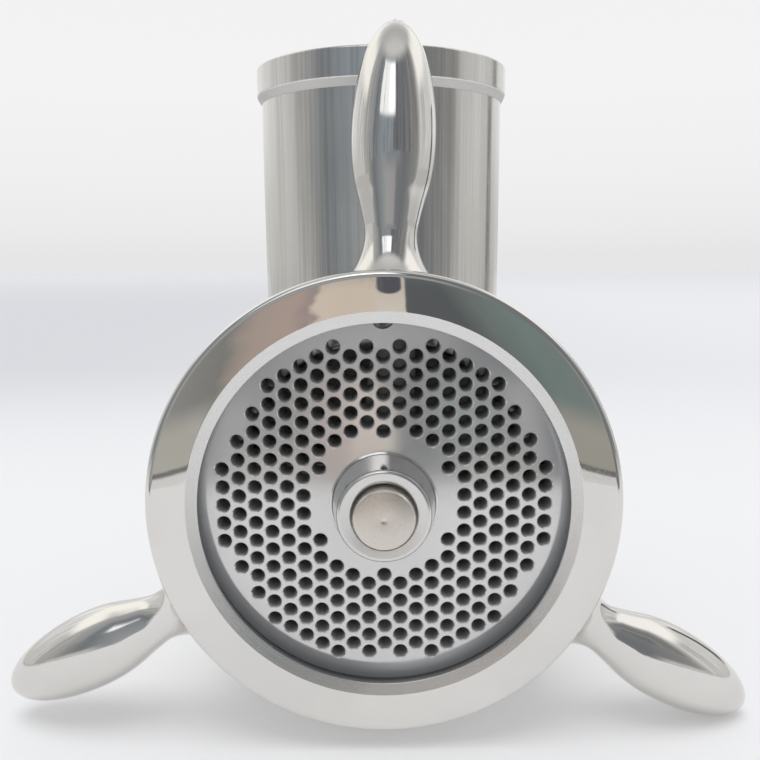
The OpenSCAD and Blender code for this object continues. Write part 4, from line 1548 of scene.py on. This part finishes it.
def front_card(s):
    """What stands beyond the white paper in front of the object, seen in polished faces only."""
    half, top, near, y = 0.90, 0.20, 0.09, -s.paper_end

    def colour(graph):
        x, _, z = graph.split(graph.here())
        across = abs(x)
        cloud = graph.noise(graph.combine(x * 60.0, 0.0, z * 90.0))
        left = graph.ramp(x + cloud * 0.012 - 0.006, -near, 0, [
            (-0.088, 0.58), (-0.076, 0.37), (-0.046, (0.26, 0.26, 0.25)), (-0.041, (0.40, 0.35, 0.32)),
            (-0.036, (0.47, 0.39, 0.35)), (-0.024, (0.50, 0.40, 0.36)), (-0.019, (0.40, 0.33, 0.33)),
            (-0.0175, (0.76, 0.66, 0.57)), (0.0, (0.76, 0.66, 0.57)),
        ])
        right = graph.ramp(x + z * 0.35 - 0.0105, 0, near, [
            (0.0, (0.124, 0.134, 0.142)), (0.026, (0.124, 0.134, 0.142)), (0.034, (0.185, 0.215, 0.213)),
            (0.046, (0.21, 0.275, 0.262)), (0.058, (0.23, 0.275, 0.27)), (0.072, (0.29, 0.31, 0.31)),
            (0.084, 0.50),
        ])
        haze = z.between(0.054, 0.070)
        left = graph.mix(haze, left, (0.33, 0.34, 0.35))
        right = graph.mix(haze, right, (0.20, 0.21, 0.22))
        plank = graph.mix((z - 0.045).between(-0.02, 0.02), (0.84, 0.80, 0.72), (0.68, 0.61, 0.54))
        low_zone = graph.mix(x.between(-0.0016, -0.0010), left, plank)
        low_zone = graph.mix(x.between(0.0066, 0.0071), low_zone, right)
        aside = graph.mix(x.between(-0.01, 0.01), (0.52, 0.51, 0.47), (0.41, 0.40, 0.36))
        foot_tone = graph.mix(across.between(0.040, 0.050), low_zone, aside)
        low_zone = graph.mix(z.between(0.024, 0.013), low_zone, foot_tone)
        high_zone = graph.ramp(x, -half, half, [
            (-0.90, (0.50, 0.50, 0.48)), (-0.60, (0.35, 0.36, 0.36)), (-0.34, (0.21, 0.23, 0.25)),
            (-0.175, (0.31, 0.34, 0.36)), (-0.080, (0.42, 0.43, 0.44)), (-0.020, (0.42, 0.42, 0.43)),
            (0.030, (0.40, 0.40, 0.41)), (0.055, (0.23, 0.24, 0.26)), (0.175, (0.205, 0.215, 0.23)),
            (0.330, (0.27, 0.275, 0.29)), (0.600, (0.31, 0.32, 0.32)), (0.900, (0.48, 0.48, 0.46)),
        ])
        high_middle = z.between(0.13, 0.20) * across.between(0.14, 0.05)
        high_zone = graph.mix(high_middle, high_zone, (0.29, 0.31, 0.34))
        high_zone = graph.mix(across.between(0.16, 0.30) * z.between(0.06, 0.02), high_zone, 0.66)
        beyond = graph.math("MAXIMUM", across.between(0.078, 0.094), z.between(0.068, 0.085))
        seen = graph.mix(beyond, low_zone, high_zone)
        seen = graph.mix(z.between(0.0046, 0.0040), seen, 0.20)
        seen = graph.mix(z.between(0.0030, 0.0024), seen, 0.78)
        off_x, off_z = x - 0.0022, graph.math("MINIMUM", z, 0.0555) - 0.0555
        spread = graph.math("SQRT", off_x * off_x + off_z * off_z)
        knob = spread.between(0.0039, 0.0033) * z.between(0.078, 0.070)
        return graph.mix(knob, seen, (0.115, 0.115, 0.14))

    stage_card("front_card", [(-half, y, 0), (half, y, 0), (half, y, top), (-half, y, top)], colour)


def rear_card():
    """A thin dark upright behind on the right, which the neck's side mirrors."""
    x, y, half, top = 0.76, 0.48, 0.045, 0.42
    left, right = (x - half, y + half), (x + half, y - half)
    corners = [(*left, 0), (*right, 0), (*right, top), (*left, top)]
    stage_card("rear_card", corners, lambda graph: rgba(0.16))


def build_floor(s):
    """White paper under the object, which greys towards the room behind."""
    bm = bmesh.new()
    bmesh.ops.create_grid(bm, x_segments=1, y_segments=1, size=6.0)

    def build(graph):
        x, y, _ = graph.split(graph.here())
        cloud = graph.noise(graph.here(), 6.0)
        far = graph.mix(x.between(-0.5, 0.7), (0.715, 0.715, 0.735), (0.85, 0.85, 0.86))
        far = graph.mix(y.between(1.5, 5.0), far, (0.79, 0.79, 0.80))
        near = graph.mix(cloud, s.floor_tone * 0.985, s.floor_tone)
        shade = graph.mix(y.between(0.10, 0.75), near, far)
        mirrored = graph.ray("Glossy")
        aside = (abs(x) - graph.math("MAXIMUM", y, 0.0) * 0.5).between(0.40, 0.95) * mirrored
        shade = graph.mix(aside, shade, (0.60, 0.595, 0.58))
        lit = graph.node("ShaderNodeBsdfDiffuse", None, {"Color": shade})
        glow = graph.node("ShaderNodeEmission", None, {"Color": shade, "Strength": 1.0})
        seen = graph.ray("Camera") + mirrored + graph.ray("Transmission")
        # Part of the paper's own white shows through, which keeps the shadow soft.
        return graph.node("ShaderNodeMixShader", None, {0: seen * s.shadow_lift, 1: lit, 2: glow})

    stage_piece(bm, "floor", build)


def room_light(graph):
    """What polished metal mirrors above the floor, by azimuth from the front and height."""
    x, y, z = graph.split(graph.node("ShaderNodeTexCoord", output="Generated"))
    azimuth = graph.math("ARCTAN2", x, -1.0 * y) * (180 / pi)
    room = graph.ramp(azimuth, -180, 180, [
        (-180, 0.96), (-150, 0.90), (-125, 0.80), (-112, 0.76), (-104, 0.74), (-96, 0.70), (-86, 0.58),
        (-76, 0.43), (-65, (0.34, 0.35, 0.36)), (-54, (0.26, 0.28, 0.30)), (-36, (0.28, 0.31, 0.35)),
        (-18, (0.31, 0.35, 0.39)), (-1, (0.27, 0.30, 0.33)), (7, (0.175, 0.185, 0.20)),
        (18, (0.205, 0.215, 0.23)), (30, (0.19, 0.20, 0.215)), (48, (0.26, 0.265, 0.28)), (60, 0.29),
        (69, 0.35), (79, 0.64), (92, 0.74), (108, 0.78), (117, 0.74), (131, 0.88), (180, 0.96),
    ])
    fold = graph.noise(graph.combine(azimuth * 0.23, z * 0.8, 0.0), 1.0, 3.0, 0.6)
    folds = fold.between(0.3, 0.7, -0.3, 0.3) + 1.0
    room = graph.vector("MULTIPLY", room, graph.combine(folds, folds, folds))
    ceiling = graph.ramp(y, -1, 1, [
        (-0.55, 0.76), (-0.33, 0.72), (-0.15, 0.60), (0.05, 0.56), (0.25, 0.68), (0.5, 0.95), (0.8, 1.0),
    ])
    room = graph.mix(z.between(0.79, 0.90), room, ceiling)
    lights = (
        # from and to in azimuth, low and high in elevation, soft width in degrees, colour
        (-152, -87, 28, 50, 12, (1.20, 1.18, 1.13)),
        (-41, 5, 29, 55, 4, (1.18, 1.21, 1.24)),
        (-14, 2, 31, 53, 6, 1.9),
        (80, 142, 30, 54, 13, (1.22, 1.20, 1.17)),
    )
    for start, end, bottom, top, soft, colour in lights:
        low, high = sin(radians(bottom)), sin(radians(top))
        rise, half = (high - sin(radians(top - soft))) / 2, soft / 2
        across = azimuth.between(start - half, start + half) * azimuth.between(end + half, end - half)
        upright = z.between(low - rise, low + rise) * z.between(high + rise, high - rise)
        room = graph.mix(across * upright, room, colour)
    bar = abs(azimuth + 29.0).between(0.9, 0.4) * z.between(0.43, 0.47) * z.between(0.84, 0.80)
    room = graph.mix(bar, room, 0.55)
    level = abs(azimuth).between(82, 96) * z.between(0.17, 0.02)
    return graph.mix(level, room, (0.70, 0.69, 0.675)), z


def build_world():
    """Near white to the camera, a studio room to polished metal and an even glow to the rest."""
    world = bpy.data.worlds.new("studio")
    bpy.context.scene.world = world
    world.use_nodes = True
    graph = Graph(world.node_tree)
    room, z = room_light(graph)
    backdrop = graph.ramp(z, 0, 1, [
        (0.0, (0.79, 0.79, 0.80)), (0.03, 0.83), (0.09, 0.87), (0.17, 0.895), (0.26, 0.89), (0.36, 0.85),
    ])
    seen = graph.mix(graph.ray("Glossy"), (0.62, 0.63, 0.66), room)
    colour = graph.mix(graph.ray("Camera"), seen, backdrop)
    glow = graph.node("ShaderNodeBackground", None, {"Color": colour, "Strength": 1.0})
    graph.node("ShaderNodeOutputWorld", None, {"Surface": glow})


def build_lamp():
    """Soft even light from overhead, a little from the front."""
    data = bpy.data.lights.new("overhead", "SUN")
    data.angle = radians(40)
    data.energy = 1.17
    lamp = in_scene("overhead", data)
    lamp.location = (0, 0, 1)
    lamp.rotation_euler = (radians(13), radians(-3), 0)
    lamp.visible_glossy = False


def build_camera(s):
    data = bpy.data.cameras.new("camera")
    data.sensor_width = 36.0
    data.lens = s.focal
    data.shift_y = s.shift
    data.clip_start = 0.01
    camera = in_scene("camera", data)
    camera.location = s.camera_place
    camera.rotation_euler = s.camera_turn
    bpy.context.scene.camera = camera


class GRINDER_OT_stage(bpy.types.Operator):
    """Makes the floor, the studio light, the cards that polished faces mirror, and the camera"""

    bl_idname = "grinder.stage"
    bl_label = "Stage"

    def execute(self, context):
        s = context.scene.meat_grinder.stage
        build_world()
        build_floor(s)
        build_lamp()
        front_card(s)
        rear_card()
        build_camera(s)
        context.scene.view_settings.view_transform = "Standard"
        return {"FINISHED"}


# ---- Add-on ----

OPERATORS = (
    GRINDER_OT_ring, GRINDER_OT_handles, GRINDER_OT_plate, GRINDER_OT_body,
    GRINDER_OT_bearing, GRINDER_OT_worm, GRINDER_OT_crank, GRINDER_OT_stage,
)


class GRINDER_PT_panel(bpy.types.Panel):
    """Lists the grinder's operators"""

    bl_idname = "GRINDER_PT_panel"
    bl_label = "Meat Grinder"
    bl_space_type = "VIEW_3D"
    bl_region_type = "UI"
    bl_category = "Grinder"

    def draw(self, context):
        for operator in OPERATORS:
            self.layout.operator(operator.bl_idname)


CLASSES = (
    GrinderFinish, GrinderPlate, GrinderRing, GrinderHandles, GrinderNeck, GrinderBody, GrinderWorm,
    GrinderCrank, GrinderStage, GrinderSettings, *OPERATORS, GRINDER_PT_panel,
)


def register():
    for item in CLASSES:
        bpy.utils.register_class(item)
    bpy.types.Scene.meat_grinder = PointerProperty(type=GrinderSettings)


def unregister():
    del bpy.types.Scene.meat_grinder
    for item in reversed(CLASSES):
        bpy.utils.unregister_class(item)


def main():
    register()
    for operator in OPERATORS:
        group, name = operator.bl_idname.split(".")
        getattr(getattr(bpy.ops, group), name)()


if __name__ == "__main__":
    main()
